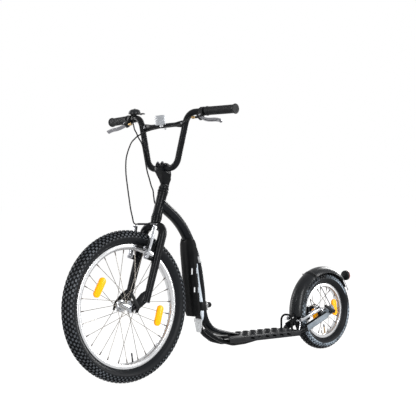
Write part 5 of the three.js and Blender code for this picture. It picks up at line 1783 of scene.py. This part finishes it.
@dataclass
class MainFrame:
    """The head tube, down tube, side rails and rear stays."""

    tube_half: float = 22.0
    tube_deep: float = 18.5
    stations: tuple = (
        (1, 1, 1, 1), (0.925, 0.959, 1.03, 1.02), (0.788, 0.882, 1, 1), (0.678, 0.786, 0.97, 1),
        (0.58, 0.647, 0.92, 0.98), (0.528, 0.518, 0.92, 0.98), (0.499, 0.371, 0.92, 0.98),
        (0.487, 0.239, 0.89, 0.98), (0.452, 0.147, 0.81, 0.95), (0.377, 0.08, 0.7, 0.91),
        (0.29, 0.047, 0.59, 0.91), (0.188, 0.0276, 0.49, 0.91), (0.087, 0.0153, 0.3, 0.91),
        (0, 0.0057, 0.15, 0.91),
    )
    rail_stations: tuple = (
        (0.013, 1, 0.56), (0.245, 1, 0.583), (0.475, 1, 0.607), (0.615, 1, 0.565), (0.75, 1, 0.57),
        (0.87, 0.92, 0.68), (0.955, 0.66, 0.84),
    )
    rail_radius: float = 8.2
    rail_half: float = 51.0
    rail_spread: float = 30.0
    rail_rise: float = 0.79
    rail_station: int = 8
    tube_tail: float = 290.0
    tube_head: float = 50.0
    tube_lift: float = 0.6
    head_radius: float = 17.0

    def tube_line(self) -> list[tuple[Vector, float, float]]:
        """The down tube's stations: place, half width and half depth.

        Returns:
            The stations, from the head to the tail.
        """
        tail, head = grounded(DECK, self.tube_tail, 0, 0), grounded(STEERING, 0, 0, self.tube_head)
        tail.z += self.tube_lift
        rows = []
        for along, climb, deep, wide in self.stations:
            place = Vector((tail.x + (head.x - tail.x) * along, 0, tail.z + (head.z - tail.z) * climb))
            rows.append((place, self.tube_half * wide, self.tube_deep * deep))
        return rows

    def down_tube(self) -> None:
        """The down tube: an oval that bends down from the head tube and flattens onto the footboard."""
        rows = smoothed([(p.x, p.z, w, d) for p, w, d in self.tube_line()], 6)
        points = [Vector((x, 0, z)) for x, z, _, _ in rows]
        form = Form().swept(
            points, [r[2] for r in rows], 40, 0, Vector((0, 1, 0)), [r[3] / r[2] for r in rows],
        )
        bottom, top = (grounded(STEERING, 0, 0, z) for z in (-30, HEAD_LENGTH + 30))
        knife = Form().rod(bottom, top, self.head_radius - 0.4, 48)
        cut = cut_by(form, knife)
        cut.placed("down_tube", GROUND, [Look.STRIPED], "frame", "black_paint", 30)

    def head_tube(self) -> None:
        """The head tube with its reinforced ends."""
        radius, top = self.head_radius, HEAD_LENGTH
        profile = [
            (radius - 2.5, 0), (radius + 0.4, 0), (radius + 1, 0.8), (radius + 1, 8), (radius + 0.2, 9.4),
            (radius, 10), (radius, top - 10), (radius + 0.2, top - 9.4), (radius + 1, top - 8),
            (radius + 1, top - 0.8), (radius + 0.4, top), (radius - 2.5, top),
        ]
        form = Form().turned(profile, 64, axis=UP)
        form.placed("head_tube", STEERING, [Look.PAINT], "frame", "black_paint", 34)

    def rails(self) -> None:
        """The rails that run from the stays, under the footboard, up to the down tube."""
        seat = self.tube_line()[self.rail_station][0]
        stations = [
            Vector((
                DECK_START + (seat.x - DECK_START) * along, self.rail_spread * aside,
                seat.z * height * self.rail_rise,
            ))
            for along, aside, height in self.rail_stations
        ]
        start, socket = (grounded(STAY, place, self.rail_half, 0) for place in (158.3, 166.2))
        end = Vector((seat.x + self.rail_radius, 14, seat.z - 37))
        route = rounded([start, socket, *stations, end], 60, 6)
        form = Form().swept(route, self.rail_radius, 24)
        form.placed_both("side_rail", GROUND, [Look.PAINT], ("frame", "frame"), "black_paint", 34)

    def stays(self) -> None:
        """The rear stays with their dropouts and brake posts, and a painted highlight on their outer flanks.
        """
        for side, sign in (("left", 1), ("right", -1)):
            node = f"rear_stay_{side}"
            form = Form().copied(node, STAY, 0.9)
            form.mesh.normal_update()
            # The large outer flat faces get the lighter finish: a painted highlight.
            lit_flanks = [f for f in form.mesh.faces if f.normal.y * sign > 0.97 and f.calc_area() > 60]
            form.finish_faces(lit_flanks, 1)
            form.placed(node, STAY, [Look.PAINT, Look.FLANK_HIGHLIGHT], "frame", "black_paint", 36)

    def build(self) -> None:
        """Makes every piece of the frame."""
        self.head_tube()
        self.down_tube()
        self.rails()
        self.stays()


@dataclass
class Footboard:
    """The perforated footboard and the hoop behind the heel."""

    length: float = 372.0
    half: float = 58.0
    sheet: float = 2.5
    flange: float = 21.5
    hole: float = 9.5
    collar: float = 13.5
    rise: float = 4.5
    rows: int = 3
    columns: int = 7
    row_pitch: float = 38.0
    column_pitch: float = 38.7
    first: float = 45.0
    fold: float = 4.0
    slot: tuple[float, float] = (22.0, 7.0)
    slot_slant: float = -11.0
    supports: tuple[float, float] = (32.0, 200.0)
    hoop_place: float = 16.0
    hoop_half: float = 28.0
    hoop_height: float = 56.0
    hoop_radius: float = 4.0

    def board(self) -> None:
        """The folded sheet with its rimmed holes and slanted slots."""
        half, sheet, flange = self.half, self.sheet, self.flange

        def corner(radius: float) -> list[tuple[float, float]]:
            """A fold's arc, from the top round to the flange.

            Args:
                radius: The arc's radius.

            Returns:
                The arc's points.
            """
            turns = [math.radians(15 * k) for k in range(7)]
            return [
                (half - self.fold + radius * math.sin(a), -self.fold + radius * math.cos(a)) for a in turns
            ]

        right = [*corner(self.fold), (half, -flange + 1), (half - 0.6, -flange), (half - sheet, -flange)]
        right += corner(self.fold - sheet)[::-1]
        outline = [*right[::-1], *[(-y, z) for y, z in right]]
        stage = basis((0, 1, 0), UP, (self.length / 2, 0, 0))
        channel = Form().plate(outline, self.length / 2, stage)
        knife = Form()
        slot = oval(*self.slot, 6)
        for column in range(self.columns):
            x = self.first + column * self.column_pitch
            for row in range(self.rows):
                y = (row - 1) * self.row_pitch
                knife.rod((x, y, -8), (x, y, 9), self.hole + 0.2, 32)
            if column < self.columns - 1:
                spot = shift(x + self.column_pitch / 2, 0, -flange / 2) @ tilt(self.slot_slant)
                frame = spot @ basis((1, 0, 0), UP)
                knife.plate(slot, half * 2, frame)
        form = cut_by(channel, knife)
        hole, rise = self.hole, self.rise
        collar = [
            (hole + 0.1, -sheet), (hole - 0.1, 0), (hole, rise - 0.9), (hole + 0.7, rise),
            (hole + 1.6, rise - 0.1), (hole + 2.3, rise - 1.2), (self.collar, 0.3), (self.collar + 1.2, -0.2),
            (hole + 0.6, -sheet),
        ]
        for column in range(self.columns):
            for row in range(self.rows):
                at = (self.first + column * self.column_pitch, (row - 1) * self.row_pitch, 0)
                form.turned(collar, 32, 0, at, UP)
        for x in self.supports:
            for y in (-30, 30):
                form.block((x - 10, y - 8, -17), (x + 10, y + 8, -1), 0, 1)
        form.placed("footboard", DECK, [Look.DECK], "frame", "black_paint", 32)

    def hoop(self) -> None:
        """The heel hoop with its welded feet."""
        x, y, top = self.hoop_place, self.hoop_half, self.hoop_height
        corners = [(x, -y, 0.4), (x, -y, top), (x, y, top), (x, y, 0.4)]
        form = Form().swept(rounded(corners, 24, 6), self.hoop_radius, 20)
        weld = [(0, 0.3), (7.2, 0.3), (7.2, 1.6), (5.6, 3), (4.4, 4.2), (0, 4.2)]
        for side in (-1, 1):
            form.turned(weld, 32, 0, (x, side * y, 0), UP)
        form.placed("heel_hoop", DECK, [Look.PAINT], "frame", "black_paint", 34)

    def build(self) -> None:
        """Makes the board and the hoop."""
        self.board()
        self.hoop()


@dataclass
class Mudguard:
    """The rear mudguard, its stays and the red reflector behind it."""

    crown: float = 174.0
    edge: float = 150.0
    half: float = 33.0
    sheet: float = 2.5
    start: float = -2.5
    end: float = 152.0
    band_degrees: float = 64.6
    tail_flare: float = 12.0
    stay_half: float = 49.4
    lamp_back: float = -154.0
    lamp_height: float = 128.0

    def edge_radius(self, degrees: float) -> float:
        """The radius of the guard's edges at an angle: they flare inwards at the tail."""
        share = (degrees - self.start) / (self.end - self.start)
        return self.edge - self.tail_flare * max(0.0, (share - 0.86) / 0.14)

    def section(self, margin: float, sheet: float, edge: float) -> list[tuple[float, float]]:
        """The guard's closed section as (across, radius) pairs.

        Args:
            margin: How far it stands outside the plain guard.
            sheet: Its thickness.
            edge: The radius of its edges.

        Returns:
            The section's corners.
        """
        spread = math.radians(70)
        shares = [k / 10 for k in range(-10, 11)]
        crown, half = self.crown + margin, self.half + margin

        def corner(share: float, inset: float) -> tuple[float, float]:
            """A corner of the section.

            Args:
                share: Its place from one edge to the other, from -1 to 1.
                inset: How far it lies inside the skin.

            Returns:
                Its place across and its radius.
            """
            drop = (math.cos(share * spread) - math.cos(spread)) / (1 - math.cos(spread))
            wide = (half - inset) * math.sin(share * spread) / math.sin(spread)
            return wide, edge + (crown - inset - edge) * drop

        return [corner(s, 0) for s in shares] + [corner(-s, sheet) for s in shares]

    def guard(self) -> None:
        """The shell with its rolled edges, its tail and the stays' band; the tail's edges carry a painted
        highlight.
        """
        form = Form()
        rings = []
        for k in range(73):
            degrees = self.start + (self.end - self.start) * k / 72
            section = self.section(0, self.sheet, self.edge_radius(degrees))
            rings.append([wheel_point(r, degrees, y) for y, r in section])
        form.lofted(rings)
        for side in (-1, 1):
            # From 131 degrees to the tail the rolled edges take material 1, a painted highlight.
            for low, high, look in ((self.start + 1, 130, 0), (131, self.end - 0.4, 1)):
                turns = [low + (high - low) * k / 40 for k in range(41)]
                rim = [wheel_point(self.edge_radius(a) + 0.4, a, side * (self.half - 1.2)) for a in turns]
                form.swept(rim, 1.25, 10, look)
        # The tail's end edge is a painted highlight too.
        top = self.section(0, 2, self.edge_radius(self.end))[:21]
        tail = [wheel_point(r, self.end - 0.3, y) for y, r in top]
        form.swept(tail, 1.1, 10, 1)
        band = []
        for k in range(7):
            degrees = self.band_degrees + (k / 3 - 1) * 2.6
            margin = 1.3 if 0 < k < 6 else 0.6
            band.append([wheel_point(r, degrees, y) for y, r in self.section(margin, self.sheet, self.edge)])
        form.lofted(band, 2)
        for side in (-1, 1):
            inner, outer = (wheel_point(r, self.band_degrees, side * 31.8) for r in (135, 165))
            form.rod(inner, outer, 2.4, 16, 2, None, 0.5)
        form.placed(
            "rear_mudguard", REAR_WHEEL, [Look.GLOSS, Look.TAIL_HIGHLIGHT, Look.SATIN], "frame", "gloss_plastic", 34,
        )

    def wires(self) -> None:
        """The wire stays with their eyes on the axle."""
        eye = [(4.9, 47.8), (11.4, 47.8), (11.6, 48.4), (11.6, 49.2), (11.4, 49.7), (4.9, 49.7)]
        form = Form().turned(eye, 36)
        rise, knee = (wheel_point(r, self.band_degrees + 10, self.stay_half) for r in (10.3, 28.8))
        end = wheel_point(135, self.band_degrees, 36.15)
        form.swept(rounded([rise, knee, end], 11.5, 8), 1.6, 12)
        form.placed_both("mudguard_stay", REAR_WHEEL, [Look.DARK], ("frame", "frame"), "steel", 36)

    def reflector(self) -> None:
        """The round rear reflector in its black housing."""
        back, height = self.lamp_back, self.lamp_height
        cup = [(0, 0), (19, 0), (20, 1), (20, 8), (18.6, 11), (15, 12), (0, 12)]
        form = Form().turned(cup, 56, 0, (back, 0, height), (1, 0, 0))
        foot = wheel_point(174.4, 138, 0)
        form.rod(foot, (back + 6, 0, height - 8), 5, 20)
        form.placed("rear_reflector_housing", REAR_WHEEL, [Look.SATIN], "frame", "black_plastic", 36)
        face = [(0, 0), (20, 0), (20, 0.9), (19.4, 1.8), (18, 2.2), (17.4, 3.2), (12, 3.8), (0, 4)]
        lens = Form().turned(face, 56, 0, (back - 0.3, 0, height), (-1, 0, 0))
        lens.placed("rear_reflector_lens", REAR_WHEEL, [Look.RED], "frame", "red", 36)

    def build(self) -> None:
        """Makes every piece of the mudguard."""
        self.guard()
        self.wires()
        self.reflector()


@dataclass
class SprayGuard:
    """The guard in front of the down tube, with its bracket, knob and flap."""

    strap: tuple[float, float, float] = (381.0, 408.0, 673.0)
    rear_edge: tuple = ((679.2, 198), (691.7, 381), (630, 381), (630, 198))

    def build(self) -> None:
        """Makes the guard's pieces."""
        low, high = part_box("spray_guard")
        half, top, foot = high.y / MM, high.z / MM, low.z / MM
        cutter = Form()
        for sign in (-1, 1):
            for radius, edge, way in ((half * 0.9, top, 1), (half * 0.4, foot, -1)):
                turns = [math.pi / 2 * (1 - k / 8) for k in range(9)]
                corner = [
                    (half + radius * (math.cos(a) - 1), edge + way * radius * (math.sin(a) - 1))
                    for a in turns
                ]
                outer, past = half + 6, edge + 6 * way
                outline = [(outer, past), (half - radius, past), *corner, (outer, edge - way * radius)]
                cutter.plate(outline, 400, basis((0, sign, 0), UP, (700, 0, 0)))
        trim = Form().plate(self.rear_edge, 60, basis((1, 0, 0), UP))
        guard = cut_by(cut_by(Form().copied("spray_guard", GROUND, 0.8), trim), cutter)
        strap_low, strap_high, ahead = self.strap
        guard.painted(1, lambda p: strap_low < p.z < strap_high and p.x < ahead)
        guard.placed("spray_guard", GROUND, [Look.SHEET, Look.SMOKE], "frame", "black_plastic", 40)
        boss = (GROUND.inverted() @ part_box("guard_bracket")[0]).x + 9
        bracket = Form().copied("guard_bracket", GROUND, 0.7).painted(1, lambda p: p.x < boss)
        bracket.placed("guard_bracket", GROUND, [Look.SATIN, Look.SMOKE], "frame", "black_plastic", 38)
        low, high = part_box("guard_knob")
        length = (high.x - low.x) / MM
        profile = [
            (0, 0), (8.4, 0), (9.2, 1), (9.6, 4), (9.4, length - 3), (8.6, length - 1), (7, length),
            (0, length),
        ]
        at = (high.x / MM, 0, (low.z + high.z) / 2 / MM)
        knob = Form().turned(profile, 40, 0, at, (-1, 0, 0))
        for y, z in ring(18, 9.5):
            spot = Vector((at[0] - length / 2, y, at[2] + z))
            knob.block(spot - Vector((4.5, 0.5, 0.5)), spot + Vector((4.5, 0.5, 0.5)), 0, 0.15)
        knob.placed("guard_knob", Matrix.Scale(MM, 4), [Look.RUBBER], "guard_knob", "rubber", 36)
        flap = Form().copied("mud_flap", GROUND, 0.2)
        flap.placed("mud_flap", GROUND, [Look.FLAP], "frame", "translucent", 36)


# Cables


@dataclass
class Cables:
    """The brake cables with their boots, wires and the rear noodle."""

    radius: float = 2.5
    boot: float = 3.5
    split: float = 84.0
    line: float = -37.7
    front_upper: tuple = (
        (86, 134, 309), (82, 112, 302), (80, 60, 300), (80, 0, 298), (82, -60, 290), (86, -100, 274),
        (98, -103, 256), (108, -101, 240), (115, -97, 219), (119, -94, 198), (120, -92, 176), (116, -90, 152),
        (108, -85, 118), (90, -78, 70), (77, -73, 37), (64, -70, 8), (50, -68, -16),
    )
    rear_upper: tuple = (
        (84, -136, 300), (80, -126, 288), (74, -116, 272), (65, -98, 250), (59, -85, 222), (51, -71, 186),
        (43, -59, 154), (34, -49, 130), (25, -40.5, 107), (17, -35, 93),
    )
    rear_lower: tuple = (
        (800, -28, 588), (756, -28, 552), (706, -29, 500), (678, -28.5, 450), (666, -28.5, 420),
        (654, -28.5, 362), (644, -28.5, 290), (640, -28.5, 225), (633, -29, 188), (617, -33, 152),
        (600, -35, 128), (584, -27, 114.5), (566, -16, 106), (552, -10, 101), (520, -8, 97), (470, -8, 93),
        (400, -8, 91), (300, -8, 90), (266, 2, 91), (250, 18, 92.6), (242, 32, 92.6), (234, 42, 89),
        (224, 45, 86),
    )
    noodle: tuple = (
        (222.6, 45, 85.6), (212, 45, 84.5), (199, 45, 86), (189, 45, 91), (182, 45, 100), (177, 44, 110),
        (173, 41, 119),
    )

    def past_adjuster(self, lever: Matrix, distance: float) -> Vector:
        """A point past the end of the left lever's adjuster, in the steering frame."""
        return lever @ Vector((-38 - distance, ADJUSTER, 0))

    def declared(self, name: str, points: Sequence[Point], matrix: Matrix, body: str) -> bpy.types.Object:
        """Args:
            name: The CAD node's name.
            points: Its route in the matrix's frame.
            matrix: What takes the route to the part's frame.
            body: The body that it rides on.

        Returns:
            The cable.
        """
        route = [matrix @ Vector(p) for p in smoothed(points, 4)]
        piece = cable(name, route, self.radius * MM, Look.SHEATH, body, "rubber")
        length = sum((b - a).length for a, b in zip(route, route[1:]))
        tuple(route[0])
        2 * self.radius * MM
        return piece

    def bellows(self, form: Form, start: Vector, end: Vector, look: int) -> None:
        """A ribbed rubber boot between two points.

        Args:
            form: What it is added to.
            start: Its first end.
            end: Its other end.
            look: The material number.
        """
        run = end - start
        count = max(3, round(run.length / 4.2))
        step = run.length / count
        profile = [(0, 0)]
        for k in range(count):
            low = k * step
            profile.append((self.boot * 0.72, low + step * 0.1))
            profile += [(self.boot, low + step * 0.45), (self.boot, low + step * 0.62)]
        profile += [(self.boot * 0.7, run.length), (0, run.length)]
        form.turned(profile, 18, look, start, run.normalized())

    def front(self, lever: Matrix) -> None:
        """The front cable with its boot and the bare wire across the arms.

        Args:
            lever: The left lever's frame.
        """
        x = FORK_RAKE + FRONT_PLANE
        route = [self.past_adjuster(lever, 0.3), self.past_adjuster(lever, 12), *self.front_upper]
        route += [(x + 3, -66, self.line + 6), (x, -58, self.line), (x, -44, self.line)]
        self.declared("front_brake_cable", route, STEERING, "steering")
        form = Form()
        self.bellows(form, Vector((x, -43.8, self.line)), Vector((x, 22, self.line)), 0)
        form.rod((x, 22, self.line), (x, 58, self.line), 0.9, 8, 1)
        looks = [Look.RUBBER, Look.STEEL]
        form.placed("", STEERING, looks, "steering", "rubber", name="front_brake_boot")

    def rear(self, lever: Matrix) -> None:
        """The rear cable, in its two lengths, and the noodle that ends it.

        Args:
            lever: The left lever's frame, which is mirrored.
        """
        start = [self.past_adjuster(lever, d) for d in (0.3, 12)]
        upper = [*[(p.x, -p.y, p.z) for p in start], *self.rear_upper, (14, -33, self.split + 0.3)]
        self.declared("rear_brake_cable_upper", upper, STEERING, "steering")
        top = [(14, -33, self.split - 0.3), (9, -31, 70), (-2, -29, 50)]
        lower = [*[grounded(STEERING, *p) for p in top], *self.rear_lower]
        self.declared("rear_brake_cable", lower, GROUND, "frame")

        def seat(y: float) -> Vector:
            """A place on the boot's line across the rear brake."""
            return grounded(STAY, REAR_BOOT, y, REAR_PLANE)

        bend = [*self.noodle, seat(34), seat(24), seat(14)]
        form = Form().swept(smoothed(bend, 5), self.radius, 20)
        self.bellows(form, seat(20), seat(-14), 1)
        form.rod(seat(-14), seat(-45), 0.9, 8, 2)
        form.placed("rear_brake_noodle", GROUND, [Look.ALLOY, Look.RUBBER, Look.STEEL], "frame", "silver", 36)

    def build(self) -> None:
        """Makes every cable."""
        lever = FrontEnd().lever_frame()
        self.front(lever)
        self.rear(lever)


# Studio


@dataclass
class Studio:
    """The camera, the floor, the backdrop and the lights."""

    place: Point = (2.6941, 2.8632, 0.6220)
    azimuth: float = 42.65
    dip: float = 0.69
    roll: float = -1.68
    lens: float = 93.78
    ambient: float = 0.62
    floor_glow: float = 0.46
    floor_white: float = 0.86
    floor_half: float = 60.0
    aim: Point = (0, 0, 0.45)
    lamps: tuple = (
        ("key_lamp", (1.2, 3.4, 1.6), 0.28, 3.0, 120.0),
        ("front_lamp", (3.7, 0.1, 1.5), 0.22, 2.8, 70.0),
        ("rear_lamp", (-2.6, 2.6, 1.5), 0.25, 2.8, 90.0),
        ("back_lamp", (-3.4, -0.9, 1.4), 0.8, 2.8, 100.0),
        ("side_lamp", (1.2, -3.4, 1.4), 0.5, 2.8, 50.0),
    )

    def camera(self) -> None:
        """The camera at the photograph's place."""
        az, dip, roll = (math.radians(v) for v in (self.azimuth, self.dip, self.roll))
        ahead = Vector((-math.sin(az) * math.cos(dip), -math.cos(az) * math.cos(dip), -math.sin(dip)))
        right = ahead.cross(Vector((0, 0, 1))).normalized()
        up = right.cross(ahead)
        across = right * math.cos(roll) + up * math.sin(roll)
        upright = up * math.cos(roll) - right * math.sin(roll)
        data = bpy.data.cameras.new("photo_camera")
        data.lens = self.lens
        data.sensor_width = 36.0
        data.clip_start, data.clip_end = 0.05, 200.0
        camera = bpy.data.objects.new("photo_camera", data)
        camera.matrix_world = basis(across, upright, Vector(self.place))
        bpy.context.scene.collection.objects.link(camera)
        bpy.context.scene.camera = camera

    @staticmethod
    def seen(board: Board) -> Wire:
        """1 for the rays that show the backdrop itself, directly, mirrored or through glass.

        Args:
            board: The material's node board.

        Returns:
            The share.
        """
        rays = board.node("ShaderNodeLightPath").outputs
        names = ("Is Camera Ray", "Is Glossy Ray", "Is Transmission Ray")
        direct, mirrored, through = (Wire(board, rays[name]) for name in names)
        return board.maths("MINIMUM", direct + mirrored + through, 1.0)

    def floor(self) -> None:
        """The white floor, which keeps the bike's shadow."""
        board = Board(bpy.data.materials.new("studio_floor"))
        share = board.noise(1.5, 2).rise(0.2, 0.8)
        seen = self.seen(board)
        ground = board.node("ShaderNodeBsdfPrincipled", values={
            "Base Color": board.mix(share, (0.9, 0.9, 0.9), (0.92, 0.92, 0.92)),
            "Roughness": 0.9,
            "Specular IOR Level": 0.0,
            "Emission Color": board.mix(seen, (0.0, 0.0, 0.0), (1.0, 1.0, 1.0)),
            "Emission Strength": self.floor_glow,
        })
        glow = board.node("ShaderNodeEmission", values={"Color": (1.0, 1.0, 1.0), "Strength": 1.0})
        shares = {0: seen * self.floor_white, 1: ground.outputs[0], 2: glow.outputs[0]}
        mixed = board.node("ShaderNodeMixShader", values=shares)
        board.node("ShaderNodeOutputMaterial", values={"Surface": mixed.outputs[0]})
        mesh = bmesh.new()
        bmesh.ops.create_grid(mesh, x_segments=1, y_segments=1, size=self.floor_half)
        data = bpy.data.meshes.new("studio_floor")
        mesh.to_mesh(data)
        mesh.free()
        floor = bpy.data.objects.new("studio_floor", data)
        data.materials.append(board.owner)
        bpy.context.scene.collection.objects.link(floor)
        floor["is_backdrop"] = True

    def world(self) -> None:
        """The white surroundings: full white where they are seen, softer as a light."""
        world = bpy.data.worlds.new("studio_world")
        bpy.context.scene.world = world
        board = Board(world)
        white = (1.0, 1.0, 1.0)
        soft, full = (
            board.node("ShaderNodeBackground", values={"Color": white, "Strength": strength})
            for strength in (self.ambient, 1.0)
        )
        shares = {0: self.seen(board), 1: soft.outputs[0], 2: full.outputs[0]}
        mixed = board.node("ShaderNodeMixShader", values=shares)
        board.node("ShaderNodeOutputWorld", values={"Surface": mixed.outputs[0]})

    def light(self) -> None:
        """The soft lamps."""
        for name, place, width, height, power in self.lamps:
            data = bpy.data.lights.new(name, "AREA")
            data.shape = "RECTANGLE"
            data.size = width
            data.size_y = height
            data.energy = power
            lamp = bpy.data.objects.new(name, data)
            lamp.location = place
            aim = Vector(self.aim) - Vector(place)
            lamp.rotation_euler = aim.to_track_quat("-Z", "Y").to_euler()
            bpy.context.scene.collection.objects.link(lamp)

    def build(self) -> None:
        """Sets the whole studio up."""
        bpy.context.scene.view_settings.view_transform = "Standard"
        self.floor()
        self.world()
        self.light()


def wheels() -> list[Wheel]:
    """The front and the rear wheel.

    Returns:
        Both wheels.
    """
    front = Wheel(
        "front", "front_wheel", FRONT_WHEEL, Look.FRONT_TYRE, Look.FRONT_RIM,
        radius=FRONT_RADIUS, rim=FRONT_LIP, depth=19.5, tyre_half=27.0, spokes=28, flange=21.5, spacing=54.0,
        shell=14.0, hub_half=47.0, valve_length=30.0, valve_spokes=20.5, reflector=(72.0, 26.0, 138.0),
        reflector_angles=(32.0, 198.0), pitches=92,
    )
    rear = Wheel(
        "rear", "rear_wheel", REAR_WHEEL, Look.REAR_TYRE, Look.REAR_RIM,
        radius=REAR_RADIUS, rim=REAR_LIP, depth=16.0, tyre_half=27.35, spokes=20, flange=19.0, spacing=48.0,
        shell=13.0, hub_half=42.0, valve_length=34.0, valve_spokes=14.5, reflector=(65.0, 25.0, 58.0),
        reflector_angles=(172.0, 342.0), pitches=56,
        block_look=Look.SIDE_BLOCK, valve_looks=(Look.BRASS, Look.RUBBER),
    )
    return [front, rear]


def main() -> None:
    """Builds the studio and every sub-assembly in order."""
    logging.basicConfig(level=logging.INFO, format="%(name)s: %(message)s")
    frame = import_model()
    cad_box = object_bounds()
    NODES.update(frame["nodes"])
    studio = Studio()
    studio.camera()
    Cables().build()
    front, rear = wheels()
    front.build()
    rear.build()
    FrontEnd().build()
    Axle("front", FRONT_WHEEL, "steering", dropout=52.5).build()
    Axle("rear", REAR_WHEEL, "frame", dropout=50.0).build()
    RimBrake(
        "front", FRONT_BRAKE, pivot_half=FRONT_PIVOT_HALF, tip_half=52.0, pivot=FRONT_PIVOT, length=105.0,
        pad_radius=205.0, plane=FRONT_PLANE,
    ).build()
    RimBrake(
        "rear", REAR_BRAKE, pivot_half=REAR_PIVOT_HALF, tip_half=36.0, pivot=REAR_PIVOT, length=101.0,
        pad_radius=103.0, plane=REAR_PLANE,
    ).build()
    MainFrame().build()
    Footboard().build()
    Mudguard().build()
    SprayGuard().build()
    studio.build()
    boxes = {"cad": cad_box, "scene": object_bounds()}
    {name: [list(corner) for corner in box] for name, box in boxes.items()}
    LOG.info("built the kick bike")


if __name__ == "__main__":
    main()
